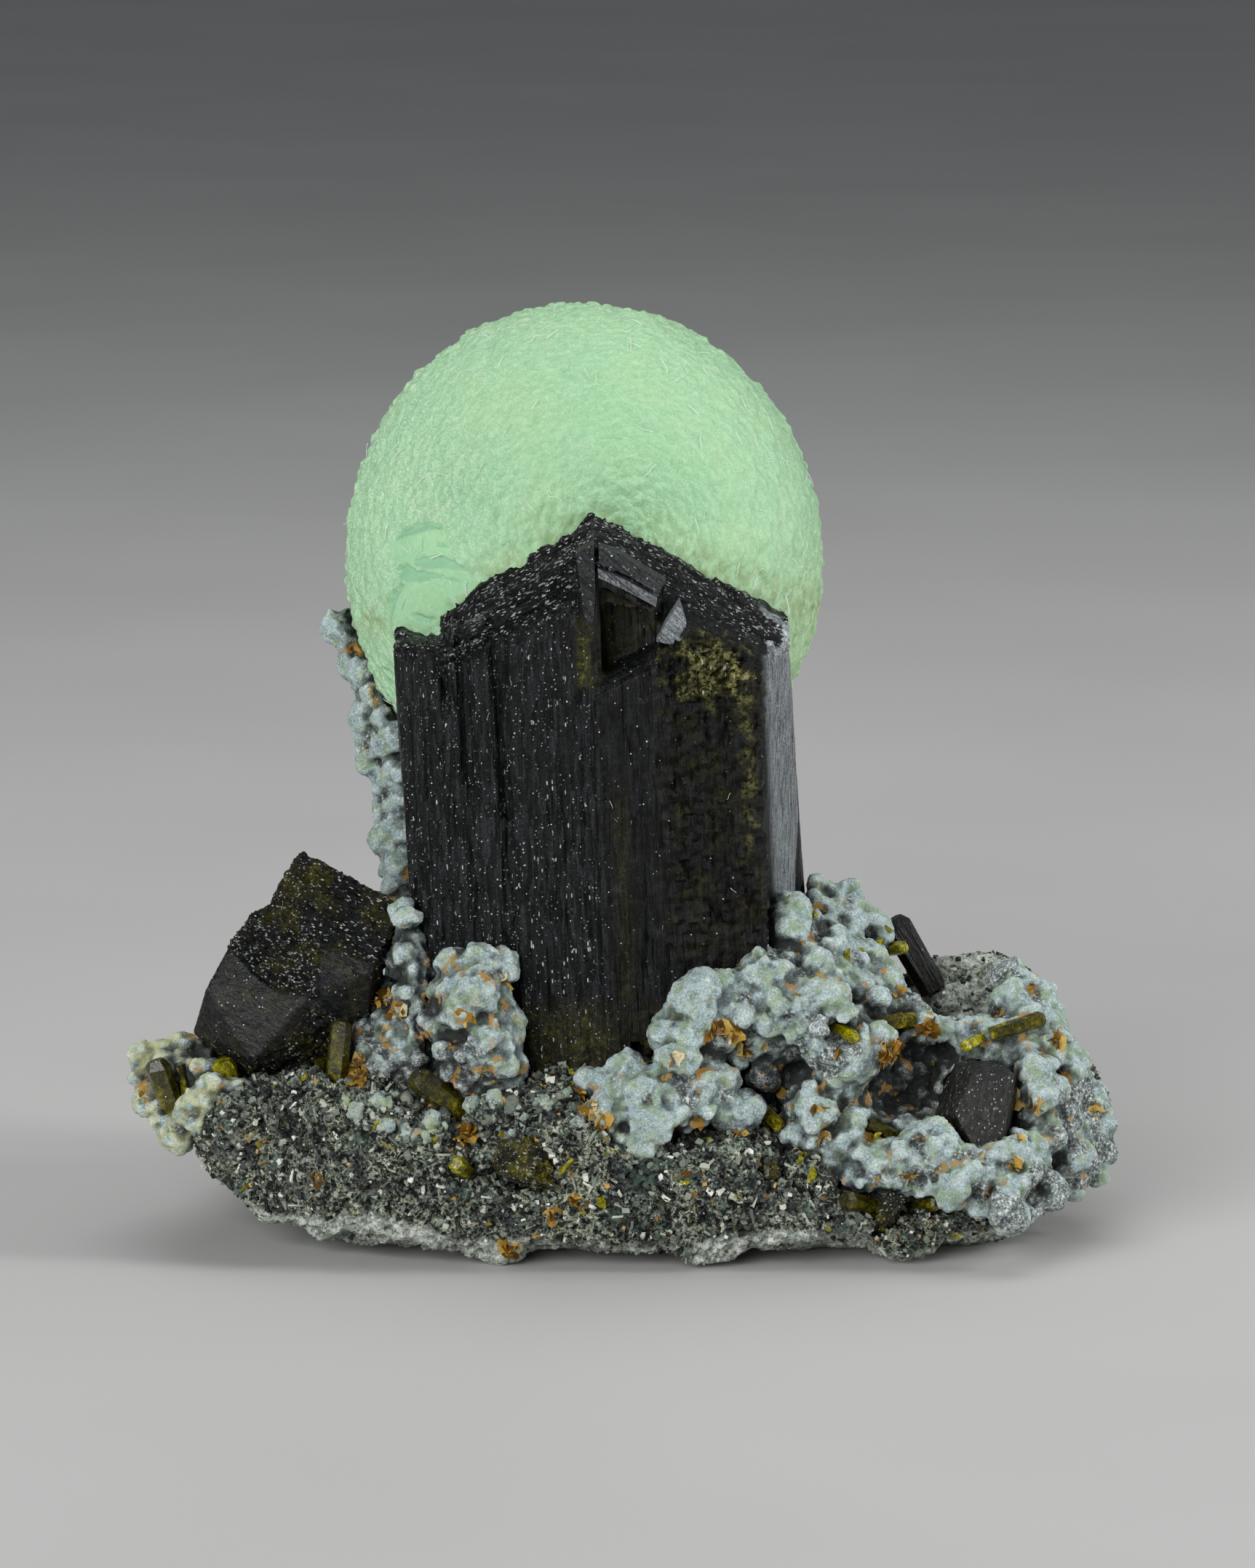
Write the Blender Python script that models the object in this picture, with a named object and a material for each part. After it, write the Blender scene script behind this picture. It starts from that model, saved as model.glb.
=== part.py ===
"""A prehnite ball behind a cluster of epidote crystals, on its plate of host rock.

The frame has +X to the right, +Y away from the viewer and +Z up. Its origin is the middle of the
bounding box seen from above, on the plane z = 0 that the rock stands on.
"""

import math

import bmesh
import bpy
from mathutils import Euler, Matrix, Vector, noise

MM = 0.001

# Driving dimensions, in millimetres and degrees.
BALL_CENTRE = Vector((-2.55, 6.3, 41.75))
BALL_RADII = Vector((15.35, 13.95, 16.4))
BALL_TILT = -4.0
CRYSTAL_FOOT = Vector((-0.5, 0.0, 8.0))
CRYSTAL_LEAN = -2.5
CRYSTAL_BACK = 2.5
GAP = 0.32
BOX_MIDDLE = Vector((0.05, 1.0, 0.0))  # in the frame of the places below, which ends as the origin
ROCK_VOXEL = 0.5
CRUST_VOXEL = 0.35

# Triangles left in each rounded piece.
BALL_TRIANGLES = 1500
ROCK_TRIANGLES = 3100
CRUST_TRIANGLES_PER_LUMP = 19
CRUST_ALLOWANCE = 0.1  # what melting and thinning take off a lump

# The front view looks down by VIEW_TILT, from VIEW_RANGE in front of VIEW_AIM. Places read off it
# are twentieths of a millimetre right of and below its top left corner.
VIEW_TILT = math.radians(10)
VIEW_RANGE = 450.0
VIEW_AIM = Vector((0.25, -3.5, 28.6))
VIEW_STEPS_PER_MM = 20
VIEW_MIDDLE = (800, 1000)

PREHNITE = ((0.36, 0.64, 0.38, 1), 0.45)
EPIDOTE_DARK = ((0.016, 0.018, 0.015, 1), 0.30)
EPIDOTE_OLIVE = ((0.12, 0.12, 0.02, 1), 0.25)
CRUST = ((0.30, 0.40, 0.40, 1), 0.75)
ROCK = ((0.075, 0.085, 0.065, 1), 0.9)


def seen(across, down, depth):
    """The point at this depth that the front view shows at (across, down)."""
    up = Vector((0, math.sin(VIEW_TILT), math.cos(VIEW_TILT)))
    eye = VIEW_AIM + Vector((0, -math.cos(VIEW_TILT), math.sin(VIEW_TILT))) * VIEW_RANGE
    right = Vector(((across - VIEW_MIDDLE[0]) / VIEW_STEPS_PER_MM, 0, 0))
    ray = VIEW_AIM + right + up * ((VIEW_MIDDLE[1] - down) / VIEW_STEPS_PER_MM) - eye
    return eye + ray * ((depth - eye.y) / ray.y)


def add_object(name, bm, look):
    """Turns the bmesh, in millimetres, into a named object with its own material."""
    bmesh.ops.recalc_face_normals(bm, faces=bm.faces)
    mesh = bpy.data.meshes.new(name)
    bm.to_mesh(mesh)
    bm.free()
    obj = bpy.data.objects.new(name, mesh)
    bpy.context.scene.collection.objects.link(obj)
    colour, roughness = look
    material = bpy.data.materials.new(name + "_skin")
    material.use_nodes = True
    skin = material.node_tree.nodes["Principled BSDF"]
    skin.inputs["Base Color"].default_value = colour
    skin.inputs["Roughness"].default_value = roughness
    skin.inputs["Metallic"].default_value = 0.0
    mesh.materials.append(material)
    return obj


def bake(obj):
    """Replaces the object's mesh by what its modifiers make of it."""
    bpy.context.view_layer.update()
    graph = bpy.context.evaluated_depsgraph_get()
    made = bpy.data.meshes.new_from_object(obj.evaluated_get(graph), depsgraph=graph)
    obj.modifiers.clear()
    old = obj.data
    obj.data = made
    made.name = obj.name
    bpy.data.meshes.remove(old)


def add_lump(bm, centre, radii, subdivisions=2, turn=None):
    """A round lump, with one radius or three."""
    if not hasattr(radii, "__len__"):
        radii = (radii, radii, radii)
    place = Matrix.Translation(centre)
    if turn:
        place = place @ Euler([math.radians(a) for a in turn]).to_matrix().to_4x4()
    place = place @ Matrix.Diagonal((*radii, 1))
    bmesh.ops.create_icosphere(bm, subdivisions=subdivisions, radius=1, matrix=place)


def add_hull(bm, points):
    """The smallest convex block that holds these points."""
    new = [bm.verts.new(p) for p in points]
    made = bmesh.ops.convex_hull(bm, input=new)
    inside = set(made["geom_interior"]) | set(made["geom_unused"])
    bmesh.ops.delete(bm, geom=[v for v in inside if isinstance(v, bmesh.types.BMVert)], context="VERTS")


def add_slab(bm, profile, front, back):
    """An outline in the x-z plane, drawn out from front to back."""
    near = [bm.verts.new((x, front, z)) for x, z in profile]
    far = [bm.verts.new((x, back, z)) for x, z in profile]
    bm.faces.new(near)
    bm.faces.new(reversed(far))
    for i in range(len(near)):
        bm.faces.new((near[i - 1], far[i - 1], far[i], near[i]))


def melt(obj, voxel):
    """Gives overlapping lumps one closed skin."""
    step = obj.modifiers.new("Melt", "REMESH")
    step.mode = "VOXEL"
    step.voxel_size = voxel
    bake(obj)


def roughen(obj, height, cell):
    """Moves the skin in and out by a smooth noise of this height."""
    bm = bmesh.new()
    bm.from_mesh(obj.data)
    bm.normal_update()
    moves = [v.normal * height * noise.fractal(v.co / cell, 0.9, 2.0, 3) for v in bm.verts]
    for vert, move in zip(bm.verts, moves):
        vert.co += move
    bm.to_mesh(obj.data)
    bm.free()


def thin(obj, triangles):
    """Thins the skin to this many triangles."""
    bm = bmesh.new()
    bm.from_mesh(obj.data)
    bmesh.ops.triangulate(bm, faces=bm.faces)
    count = len(bm.faces)
    bm.to_mesh(obj.data)
    bm.free()
    obj.modifiers.new("Thin", "DECIMATE").ratio = min(1, triangles / count)
    bake(obj)


def boolean(obj, other, operation, solver="EXACT"):
    """Joins the other object to this one or cuts it away, and removes the other."""
    step = obj.modifiers.new("Step", "BOOLEAN")
    step.operation = operation
    step.solver = solver
    step.object = other
    bake(obj)
    bpy.data.objects.remove(other)


def keep_biggest(obj):
    """Drops the crumbs that a cut leaves beside the piece."""
    bm = bmesh.new()
    bm.from_mesh(obj.data)
    bmesh.ops.remove_doubles(bm, verts=bm.verts, dist=0.002)
    bmesh.ops.dissolve_degenerate(bm, dist=0.002, edges=bm.edges)
    bmesh.ops.triangulate(bm, faces=bm.faces)
    left = set(bm.faces)
    islands = []
    while left:
        stack = [left.pop()]
        island = []
        while stack:
            face = stack.pop()
            island.append(face)
            for edge in face.edges:
                for other in edge.link_faces if edge.is_manifold else ():
                    if other in left:
                        left.remove(other)
                        stack.append(other)
        islands.append(island)
    islands.sort(key=lambda island: sum(face.calc_area() for face in island))
    for island in islands[:-1]:
        bmesh.ops.delete(bm, geom=island, context="FACES")
    bm.to_mesh(obj.data)
    bm.free()


def swollen_copy(obj, by, share=1.0):
    """A cutter: this object with its skin moved outwards, thinned to this share of its triangles."""
    cutter = obj.copy()
    cutter.data = obj.data.copy()
    bpy.context.scene.collection.objects.link(cutter)
    cutter.hide_render = True
    cutter.display_type = "WIRE"
    bm = bmesh.new()
    bm.from_mesh(cutter.data)
    bm.normal_update()
    moves = [v.normal * by * min(1.6, v.calc_shell_factor()) for v in bm.verts]
    for vert, move in zip(bm.verts, moves):
        vert.co += move
    bm.to_mesh(cutter.data)
    bm.free()
    if share < 1:
        cutter.modifiers.new("Thin", "DECIMATE").ratio = share
        bake(cutter)
    return cutter


def close_by(obj, other, reach=1.0):
    """Whether the boxes of the two pieces come within this distance of each other."""
    for axis in range(3):
        ours = [v.co[axis] for v in obj.data.vertices]
        theirs = [v.co[axis] for v in other.data.vertices]
        if min(ours) > max(theirs) + reach or min(theirs) > max(ours) + reach:
            return False
    return True


def make_room(obj, neighbours, by=GAP, share=1.0):
    """Cuts each neighbour out of the piece, with a thin gap left between them.

    A swollen cutter can cross itself in its hollows, where the EXACT solver gives nothing.
    """
    for other in neighbours:
        if close_by(obj, other):
            boolean(obj, swollen_copy(other, by, share), "DIFFERENCE", "MANIFOLD")


def fit(obj, neighbours, voxel, triangles):
    """Makes room for the neighbours, then gives the piece a fresh, even skin."""
    make_room(obj, neighbours, GAP + voxel / 2)
    melt(obj, voxel)
    keep_biggest(obj)
    thin(obj, triangles)


def plane_cut(obj, point, normal, size=120):
    """Cuts away all that lies on the side of the plane that the normal points to."""
    bm = bmesh.new()
    normal = Vector(normal).normalized()
    place = Matrix.Translation(Vector(point) + normal * size / 2)
    place = place @ normal.to_track_quat("Z", "Y").to_matrix().to_4x4()
    bmesh.ops.create_cube(bm, size=size, matrix=place)
    boolean(obj, add_object("cut", bm, ROCK), "DIFFERENCE")


# The ball.

def make_ball():
    bm = bmesh.new()
    add_lump(bm, BALL_CENTRE, BALL_RADII, 5, (0, BALL_TILT, 0))
    obj = add_object("prehnite_ball", bm, PREHNITE)
    roughen(obj, 0.22, 2.2)
    thin(obj, BALL_TRIANGLES)
    return obj


# The main crystal. Its outlines are in its own upright frame, from its foot.

SHOULDERED = [
    # (outline corners, front depth) of each crystal in the bundle
    ([(-9.5, 0), (12.9, 0), (12.15, 31.5), (0.2, 38.15), (-7.1, 34.6), (-9.55, 32.9)], -7.2),
    ([(-9.3, 0), (12.8, 0), (12.0, 30.9), (0.3, 37.55), (-7.3, 33.9), (-9.3, 32.3)], -8.2),
    ([(-9.1, 0), (12.6, 0), (11.7, 30.3), (0.35, 36.9), (-7.3, 33.3), (-9.1, 31.7)], -9.2),
    ([(-12.2, 0), (-9.0, 0), (-9.2, 30.7), (-12.6, 31.0)], -8.6),
    ([(-11.6, 0), (-8.8, 0), (-9.4, 30.0), (-10.9, 30.6), (-11.5, 29.6)], -9.6),
    ([(-9.9, 0), (0.5, 0), (0.5, 28.6), (-1.0, 34.8), (-5.4, 32.3), (-6.0, 32.3), (-6.6, 33.5),
      (-7.9, 33.0), (-9.2, 30.4)], -10.5),
    ([(-6.0, 0), (0.3, 0), (0.1, 28.4), (-1.0, 34.2), (-5.5, 31.6)], -11.0),
    ([(-1.0, 28.3), (0.5, 28.3), (0.6, 33.6), (4.25, 33.0), (4.3, 33.5), (0.35, 37.1), (-1.0, 36.4)], -10.6),
    ([(3.6, 0), (12.0, 0), (11.0, 30.0), (5.9, 32.6), (3.9, 32.0)], -10.2),
    ([(-0.5, 0), (11.6, 0), (10.6, 29.5), (5.7, 32.0), (5.3, 30.9), (-0.46, 28.4)], -11.6),
    ([(-0.3, 0), (11.4, 0), (10.5, 29.0), (6.2, 30.6), (5.0, 30.3), (-0.2, 28.0)], -12.0),
]


def make_main_crystal():
    obj = None
    for outline, front in SHOULDERED:
        bm = bmesh.new()
        add_slab(bm, outline, front, CRYSTAL_BACK + 0.35 * (front - SHOULDERED[0][1]))
        block = add_object("epidote_main", bm, EPIDOTE_DARK)
        if obj:
            boolean(obj, block, "UNION")
        else:
            obj = block
            obj.name = "epidote_main"
    # The glossy bevel on the right, the smaller one on the left and the two at the back.
    plane_cut(obj, (10.4, -12, 29.3), (0.92, -0.385, -0.077))
    plane_cut(obj, (-12.2, -8.6, 15), (-0.8, -0.55, 0.02))
    plane_cut(obj, (12.6, 1.0, 15), (0.75, 0.66, 0))
    plane_cut(obj, (-12.4, 1.0, 15), (-0.7, 0.7, 0))
    # The notch broken out of its foot.
    bm = bmesh.new()
    add_hull(bm, [(x, y, z) for y in (-14, -9.6) for x, z in
                  [(0.6, -2), (0.7, 5.0), (2.6, 5.6), (4.6, 3.4), (5.6, 0), (5.6, -2)]])
    boolean(obj, add_object("notch", bm, EPIDOTE_DARK), "DIFFERENCE")
    keep_biggest(obj)
    lean = Matrix.Rotation(math.radians(CRYSTAL_LEAN), 4, "Y")
    obj.data.transform(Matrix.Translation(CRYSTAL_FOOT) @ lean)
    return obj


# The other crystals with flat faces, by the corners that the front view shows.

def make_block(name, corners, look):
    bm = bmesh.new()
    add_hull(bm, [seen(*corner) for corner in corners])
    bmesh.ops.dissolve_limit(bm, angle_limit=math.radians(3), verts=bm.verts, edges=bm.edges)
    bmesh.ops.triangulate(bm, faces=bm.faces)
    return add_object(name, bm, look)


LEFT_BODY = [
    (246, 1318, -9.0), (262, 1262, -10.6), (297, 1197, -9.5), (318, 1168, -8.5), (322, 1354, -12.0),
    (388, 1280, -12.4), (405, 1262, -12.2), (352, 1150, -7.5), (470, 1292, -10.6), (474, 1240, -11.4),
    (405, 1298, -11.8), (498, 1190, -9.6), (508, 1168, -8.8), (262, 1300, -3.0), (330, 1190, -2.5),
    (470, 1240, -2.5), (330, 1330, -4.0), (470, 1290, -4.0), (320, 1378, -8.0), (430, 1370, -7.0),
]
LEFT_PEAK = [
    (352, 1150, -7.5), (358, 1128, -7.2), (364, 1113, -7.0), (385, 1088, -6.6), (412, 1108, -7.4),
    (440, 1128, -8.0), (508, 1152, -8.6), (514, 1160, -8.8), (474, 1235, -11.3), (400, 1235, -11.4),
    (335, 1172, -8.0), (385, 1092, -3.0), (505, 1158, -3.0), (365, 1130, -3.0), (470, 1235, -4.0),
    (360, 1210, -4.0),
]
TABULAR = [
    (1219, 1355, -10.6), (1241, 1369, -12.4), (1293, 1369, -12.0), (1278, 1466, -14.2),
    (1241, 1462, -14.6), (1217, 1420, -14.0), (1192, 1425, -11.2), (1203, 1385, -10.4),
    (1270, 1352, -9.4), (1300, 1385, -10.0), (1290, 1450, -9.8), (1215, 1440, -9.4), (1245, 1470, -10.6),
]


def make_left_crystal():
    obj = make_block("epidote_left", LEFT_BODY, EPIDOTE_DARK)
    boolean(obj, make_block("peak", LEFT_PEAK, EPIDOTE_DARK), "UNION")
    return obj


# Small prisms: (name, buried end, free end, width, thickness, turn about its length).
PRISMS = [
    ("prism_left_stout", (222, 1420, -10.0), (198, 1352, -10.0), 1.75, 1.5, 20),
    ("prism_left_tiny", (236, 1402, -10.4), (226, 1356, -9.4), 0.75, 0.7, 45),
    ("prism_left_yellow", (300, 1418, -10.5), (284, 1352, -11.0), 1.7, 1.4, 10),
    ("prism_standing", (422, 1430, -12.6), (436, 1302, -12.6), 1.5, 1.3, 12),
    ("prism_standing_pair", (408, 1425, -11.2), (414, 1350, -11.6), 1.1, 1.1, 30),
    ("prism_lying_dark", (600, 1428, -13.2), (528, 1372, -15.0), 1.7, 1.5, 15),
    ("prism_rock_front", (700, 1500, -15.0), (648, 1470, -17.6), 3.4, 2.6, 25),
    ("prism_rock_small", (598, 1496, -15.2), (582, 1484, -17.4), 1.2, 1.1, 0),
    ("prism_window", (942, 1350, -10.5), (906, 1318, -13.4), 1.35, 1.3, 30),
    ("prism_yellow_mound", (1052, 1306, -13.0), (1092, 1324, -15.2), 0.85, 0.85, 45),
    ("prism_hollow_dark", (1166, 1300, -8.6), (1110, 1307, -11.6), 1.15, 1.0, 15),
    ("prism_long", (1262, 1320, -9.2), (1332, 1298, -8.6), 1.05, 0.95, 10),
    ("prism_long_tail", (1252, 1324, -9.0), (1229, 1335, -11.0), 0.75, 0.7, 40),
    ("prism_back_yellow", (1112, 1214, -1.0), (1154, 1208, -4.6), 0.9, 0.85, 40),
    ("prism_slope", (952, 1394, -12.6), (998, 1440, -14.6), 0.95, 0.85, 20),
    ("prism_ridge", (1165, 1462, -12.6), (1106, 1432, -14.6), 0.95, 0.8, 20),
    ("prism_front_left", (1126, 1545, -14.0), (1076, 1530, -17.0), 1.3, 1.2, 0),
    ("prism_front_middle", (1122, 1560, -14.6), (1142, 1530, -17.0), 1.5, 1.3, 20),
    ("prism_front_right", (1160, 1545, -13.6), (1196, 1534, -16.4), 1.0, 0.9, 10),
    ("prism_right_thin", (1284, 1572, -13.6), (1304, 1514, -15.2), 0.75, 0.7, 30),
    ("prism_cavity", (960, 1510, -13.5), (988, 1494, -16.8), 1.5, 1.3, 15),
    ("prism_back", (1190, 1262, -0.5), (1138, 1172, -0.5), 1.9, 1.8, 40),
]


def make_prism(name, buried, free, width, thickness, turn):
    """A six-sided prism between two places, with its free end bevelled to a blunt point."""
    foot, tip = seen(*buried), seen(*free)
    along = tip - foot
    length = along.length
    place = Matrix.Translation(foot) @ along.to_track_quat("Z", "Y").to_matrix().to_4x4()
    place = place @ Matrix.Rotation(math.radians(turn), 4, "Z")
    corners = [(0.5, 0.12), (0.22, 0.5), (-0.28, 0.5), (-0.5, -0.12), (-0.22, -0.5), (0.28, -0.5)]
    bm = bmesh.new()
    points = []
    for share, size, lean in ((0, 0.9, 0), (1, 1, 0.25), (1, 0.62, 0)):
        for x, y in corners:
            z = length * share - (width * lean * (1.0 + x) if lean else 0)
            points.append(place @ Vector((x * width * size, y * thickness * size, z)))
    add_hull(bm, points)
    return add_object(name, bm, EPIDOTE_OLIVE if width < 1.8 else EPIDOTE_DARK)


# The crusts are round lumps melted together: place on the front view, depth and radius.

CRUSTS = {
    "crust_left_mound": [
        (583, 1242, -12.6, 1.6), (620, 1234, -12.6, 1.7), (602, 1262, -13.2, 1.9), (632, 1264, -12.8, 1.4),
        (576, 1276, -12.9, 1.6), (646, 1288, -12.8, 1.2), (604, 1300, -13.3, 1.6), (618, 1326, -14.0, 1.9),
        (642, 1346, -13.8, 1.6), (614, 1352, -13.8, 1.5), (660, 1352, -13.6, 1.1), (568, 1302, -12.8, 1.5),
        (580, 1332, -12.9, 1.6), (650, 1320, -13.0, 1.3), (590, 1372, -12.8, 1.8), (630, 1380, -12.8, 1.8),
    ],
    "crust_left_gap": [
        (466, 1246, -8.8, 0.9), (478, 1262, -8.9, 1.1), (494, 1278, -9.0, 1.2), (512, 1164, -9.2, 0.8),
        (520, 1184, -9.4, 0.9), (519, 1214, -9.8, 1.1), (527, 1236, -10.4, 1.1), (528, 1262, -10.9, 1.2),
        (510, 1290, -10.2, 1.4), (484, 1300, -9.6, 1.4), (498, 1326, -10.8, 1.7), (530, 1322, -11.4, 1.6),
        (548, 1300, -11.8, 1.3), (552, 1338, -12.0, 1.6), (470, 1330, -10.8, 1.4), (520, 1352, -11.6, 1.6),
        (486, 1352, -11.6, 1.6),
    ],
    "crust_column": [
        (462, 778, 7.6, 1.2), (450, 796, 7.8, 0.9), (468, 808, 7.6, 1.3), (458, 836, 7.2, 1.1),
        (480, 846, 6.8, 1.5), (459, 866, 7.0, 1.1), (478, 880, 6.4, 1.4), (449, 915, 6.6, 0.65),
        (468, 918, 6.4, 1.2), (466, 946, 6.4, 1.25), (488, 950, 6.0, 1.5), (478, 974, 6.0, 1.1),
        (494, 984, 5.6, 1.2), (490, 1012, 5.6, 1.1), (482, 1034, 5.4, 0.8), (500, 1046, 5.2, 1.3),
        (488, 1062, 5.2, 0.7), (504, 1080, 5.0, 1.3), (492, 1104, 5.0, 0.75), (508, 1118, 5.0, 1.3),
        (508, 1146, 4.8, 1.2), (512, 1180, 4.8, 1.4), (514, 1215, 4.6, 1.6), (516, 1250, 4.4, 1.8),
        (510, 870, 5.4, 1.9), (514, 930, 5.2, 1.9), (520, 990, 5.0, 1.9), (526, 1050, 5.0, 1.8),
        (530, 1110, 4.8, 1.8), (540, 1170, 4.8, 1.9), (546, 1230, 4.6, 2.0), (500, 900, 5.6, 1.6),
        (500, 820, 6.4, 1.5), (545, 900, 4.6, 1.6), (552, 955, 4.4, 1.7), (560, 1015, 4.4, 1.8),
        (566, 1080, 4.4, 1.9), (574, 1150, 4.4, 2.0), (584, 1220, 4.4, 2.2), (545, 860, 4.8, 1.3),
    ],
    "crust_left_tip": [
        (180, 1346, -5.4, 0.8), (196, 1338, -5.0, 0.9), (216, 1338, -5.0, 0.9), (240, 1340, -5.2, 1.0),
        (254, 1352, -6.0, 1.1), (180, 1368, -6.4, 0.9), (184, 1392, -7.2, 0.9), (192, 1412, -8.2, 1.0),
        (214, 1424, -10.4, 1.0), (234, 1420, -12.0, 1.0), (250, 1402, -12.4, 1.2), (268, 1388, -12.0, 1.1),
        (286, 1382, -11.6, 1.0), (208, 1360, -6.4, 1.4), (236, 1368, -7.4, 1.4), (258, 1376, -9.2, 1.5),
        (300, 1392, -11.4, 1.0), (230, 1390, -8.6, 1.6),
    ],
    "crust_front": [
        (764, 1376, -14.6, 1.1), (786, 1372, -14.6, 1.0), (806, 1368, -14.8, 1.2), (832, 1376, -15.0, 1.2),
        (862, 1364, -14.8, 1.2), (884, 1364, -14.6, 1.0), (776, 1396, -15.2, 1.1), (802, 1400, -15.6, 1.3),
        (830, 1394, -15.8, 1.4), (862, 1392, -15.6, 1.3), (888, 1386, -15.2, 1.3), (908, 1376, -14.8, 1.1),
        (922, 1378, -14.6, 0.9), (770, 1418, -15.6, 1.0), (800, 1426, -15.9, 1.3), (836, 1426, -16.1, 1.3),
        (866, 1422, -15.9, 1.2), (896, 1412, -15.4, 1.1), (922, 1420, -15.0, 1.0), (942, 1418, -14.6, 0.8),
        (786, 1446, -15.8, 0.9), (820, 1450, -16.0, 0.9), (850, 1398, -14.0, 1.8), (800, 1395, -14.0, 1.8),
        (900, 1395, -13.6, 1.6),
    ],
    "crust_right": [
        # the mound beside the main crystal
        (1036, 1134, -2.8, 1.2), (1018, 1142, -3.4, 1.1), (1046, 1160, -3.4, 1.6), (1086, 1150, -2.8, 1.5),
        (1104, 1178, -2.8, 1.2), (1114, 1190, -3.4, 0.9), (1068, 1184, -4.0, 1.8), (1026, 1186, -5.4, 1.6),
        (1002, 1172, -8.2, 1.2), (1004, 1204, -8.8, 1.5), (1000, 1226, -9.8, 1.6), (966, 1226, -12.0, 1.3),
        (950, 1252, -12.8, 1.4), (984, 1250, -12.2, 1.8), (1022, 1226, -9.4, 1.9), (1062, 1216, -8.0, 1.9),
        (1096, 1220, -6.8, 1.5), (1012, 1266, -12.6, 1.6), (1046, 1250, -11.0, 1.8), (1082, 1246, -9.4, 1.5),
        (1110, 1238, -7.2, 1.3), (886, 1272, -13.8, 1.5), (914, 1262, -13.4, 1.3), (846, 1308, -13.8, 1.1),
        (862, 1288, -13.8, 1.1), (872, 1316, -14.2, 1.5), (902, 1300, -14.2, 1.5), (890, 1338, -14.4, 1.1),
        (940, 1288, -13.4, 1.6), (972, 1290, -13.0, 1.7), (1004, 1304, -12.2, 1.9), (980, 1332, -11.8, 1.8),
        (954, 1366, -11.4, 1.5), (988, 1366, -11.2, 1.6), (926, 1318, -12.4, 1.4), (908, 1352, -13.6, 1.0),
        # the lobe in the middle
        (1044, 1274, -13.4, 1.7), (1066, 1296, -13.6, 1.6), (1080, 1326, -13.4, 1.7), (1050, 1330, -13.4, 1.8),
        (1090, 1356, -12.8, 1.7), (1060, 1368, -12.6, 1.8), (1092, 1386, -11.8, 1.4), (1030, 1304, -13.2, 1.5),
        (1110, 1340, -12.0, 1.4),
        # the wall behind the hollow
        (1120, 1264, -7.4, 1.6), (1142, 1276, -7.0, 1.6), (1162, 1300, -7.2, 1.6), (1140, 1322, -8.2, 1.8),
        (1172, 1330, -7.6, 1.8), (1200, 1322, -7.0, 1.8), (1140, 1356, -8.8, 1.9), (1176, 1362, -8.2, 1.9),
        (1208, 1352, -7.6, 1.6), (1128, 1388, -9.6, 1.9), (1164, 1396, -9.2, 1.9), (1232, 1326, -6.4, 1.6),
        (1020, 1366, -11.2, 1.8), (1044, 1396, -10.8, 1.6), (1100, 1296, -10.0, 1.9),
        # the right-hand end
        (1284, 1246, -3.0, 1.5), (1310, 1262, -3.4, 1.4), (1334, 1284, -4.2, 1.3), (1300, 1286, -4.6, 1.5),
        (1348, 1310, -5.0, 1.2), (1326, 1314, -5.8, 1.6), (1282, 1316, -6.4, 1.4), (1268, 1336, -7.4, 1.5),
        (1300, 1342, -7.6, 1.6), (1336, 1340, -6.6, 1.6), (1362, 1352, -6.2, 1.3), (1378, 1384, -6.4, 1.3),
        (1396, 1408, -6.4, 1.2), (1404, 1436, -6.6, 1.2), (1404, 1468, -7.0, 1.2), (1384, 1436, -7.6, 1.7),
        (1366, 1398, -7.6, 1.7), (1376, 1476, -8.2, 1.7), (1394, 1498, -7.6, 1.1), (1368, 1512, -9.2, 1.4),
        (1352, 1438, -8.8, 1.8), (1352, 1480, -9.8, 1.6),
        # the lobe right of the dark block
        (1328, 1360, -9.8, 1.1), (1320, 1382, -10.2, 1.2), (1342, 1394, -10.0, 1.4), (1330, 1420, -10.6, 1.3),
        (1336, 1446, -11.2, 1.3), (1316, 1410, -10.0, 1.3),
        # the ridge along the front
        (1032, 1388, -12.9, 0.9), (1034, 1404, -13.2, 1.1), (1016, 1422, -13.6, 1.3), (1046, 1424, -14.0, 1.4),
        (1030, 1450, -14.4, 1.3), (1076, 1426, -13.8, 1.2), (1094, 1438, -14.0, 1.1), (1070, 1456, -14.6, 1.3),
        (1108, 1474, -14.8, 1.4), (1142, 1478, -15.0, 1.4), (1180, 1446, -14.2, 1.3), (1202, 1462, -14.8, 1.5),
        (1170, 1482, -15.2, 1.5), (1216, 1488, -15.4, 1.5), (1252, 1486, -15.4, 1.4), (1290, 1484, -14.2, 1.5),
        (1240, 1520, -15.6, 1.4), (1280, 1520, -15.0, 1.5), (1318, 1492, -13.0, 1.5), (1328, 1526, -13.2, 1.4),
        (1302, 1540, -14.2, 1.2), (1322, 1466, -12.0, 1.4), (1100, 1504, -15.6, 1.2), (1060, 1486, -14.6, 1.0),
        (1140, 1508, -15.8, 1.2), (1190, 1512, -15.8, 1.3), (1306, 1462, -12.4, 1.2),
    ],
}

# Hidden bulk that each crust stands on, as (centre, radii).
CRUST_CORES = {
    "crust_right": [((11.5, -5.5, 13.5), (2.8, 5.0, 5.0)), ((17.0, -11.2, 7.2), (10.0, 3.4, 1.7))],
}


def make_crust(name):
    bm = bmesh.new()
    for across, down, depth, radius in CRUSTS[name]:
        add_lump(bm, seen(across, down, depth), radius + CRUST_ALLOWANCE)
    for centre, radii in CRUST_CORES.get(name, []):
        add_lump(bm, centre, radii, 3)
    obj = add_object(name, bm, CRUST)
    melt(obj, CRUST_VOXEL)
    roughen(obj, 0.12, 1.0)
    return obj


# The host rock: convex blocks and lumps, melted together and cut flat underneath.

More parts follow.
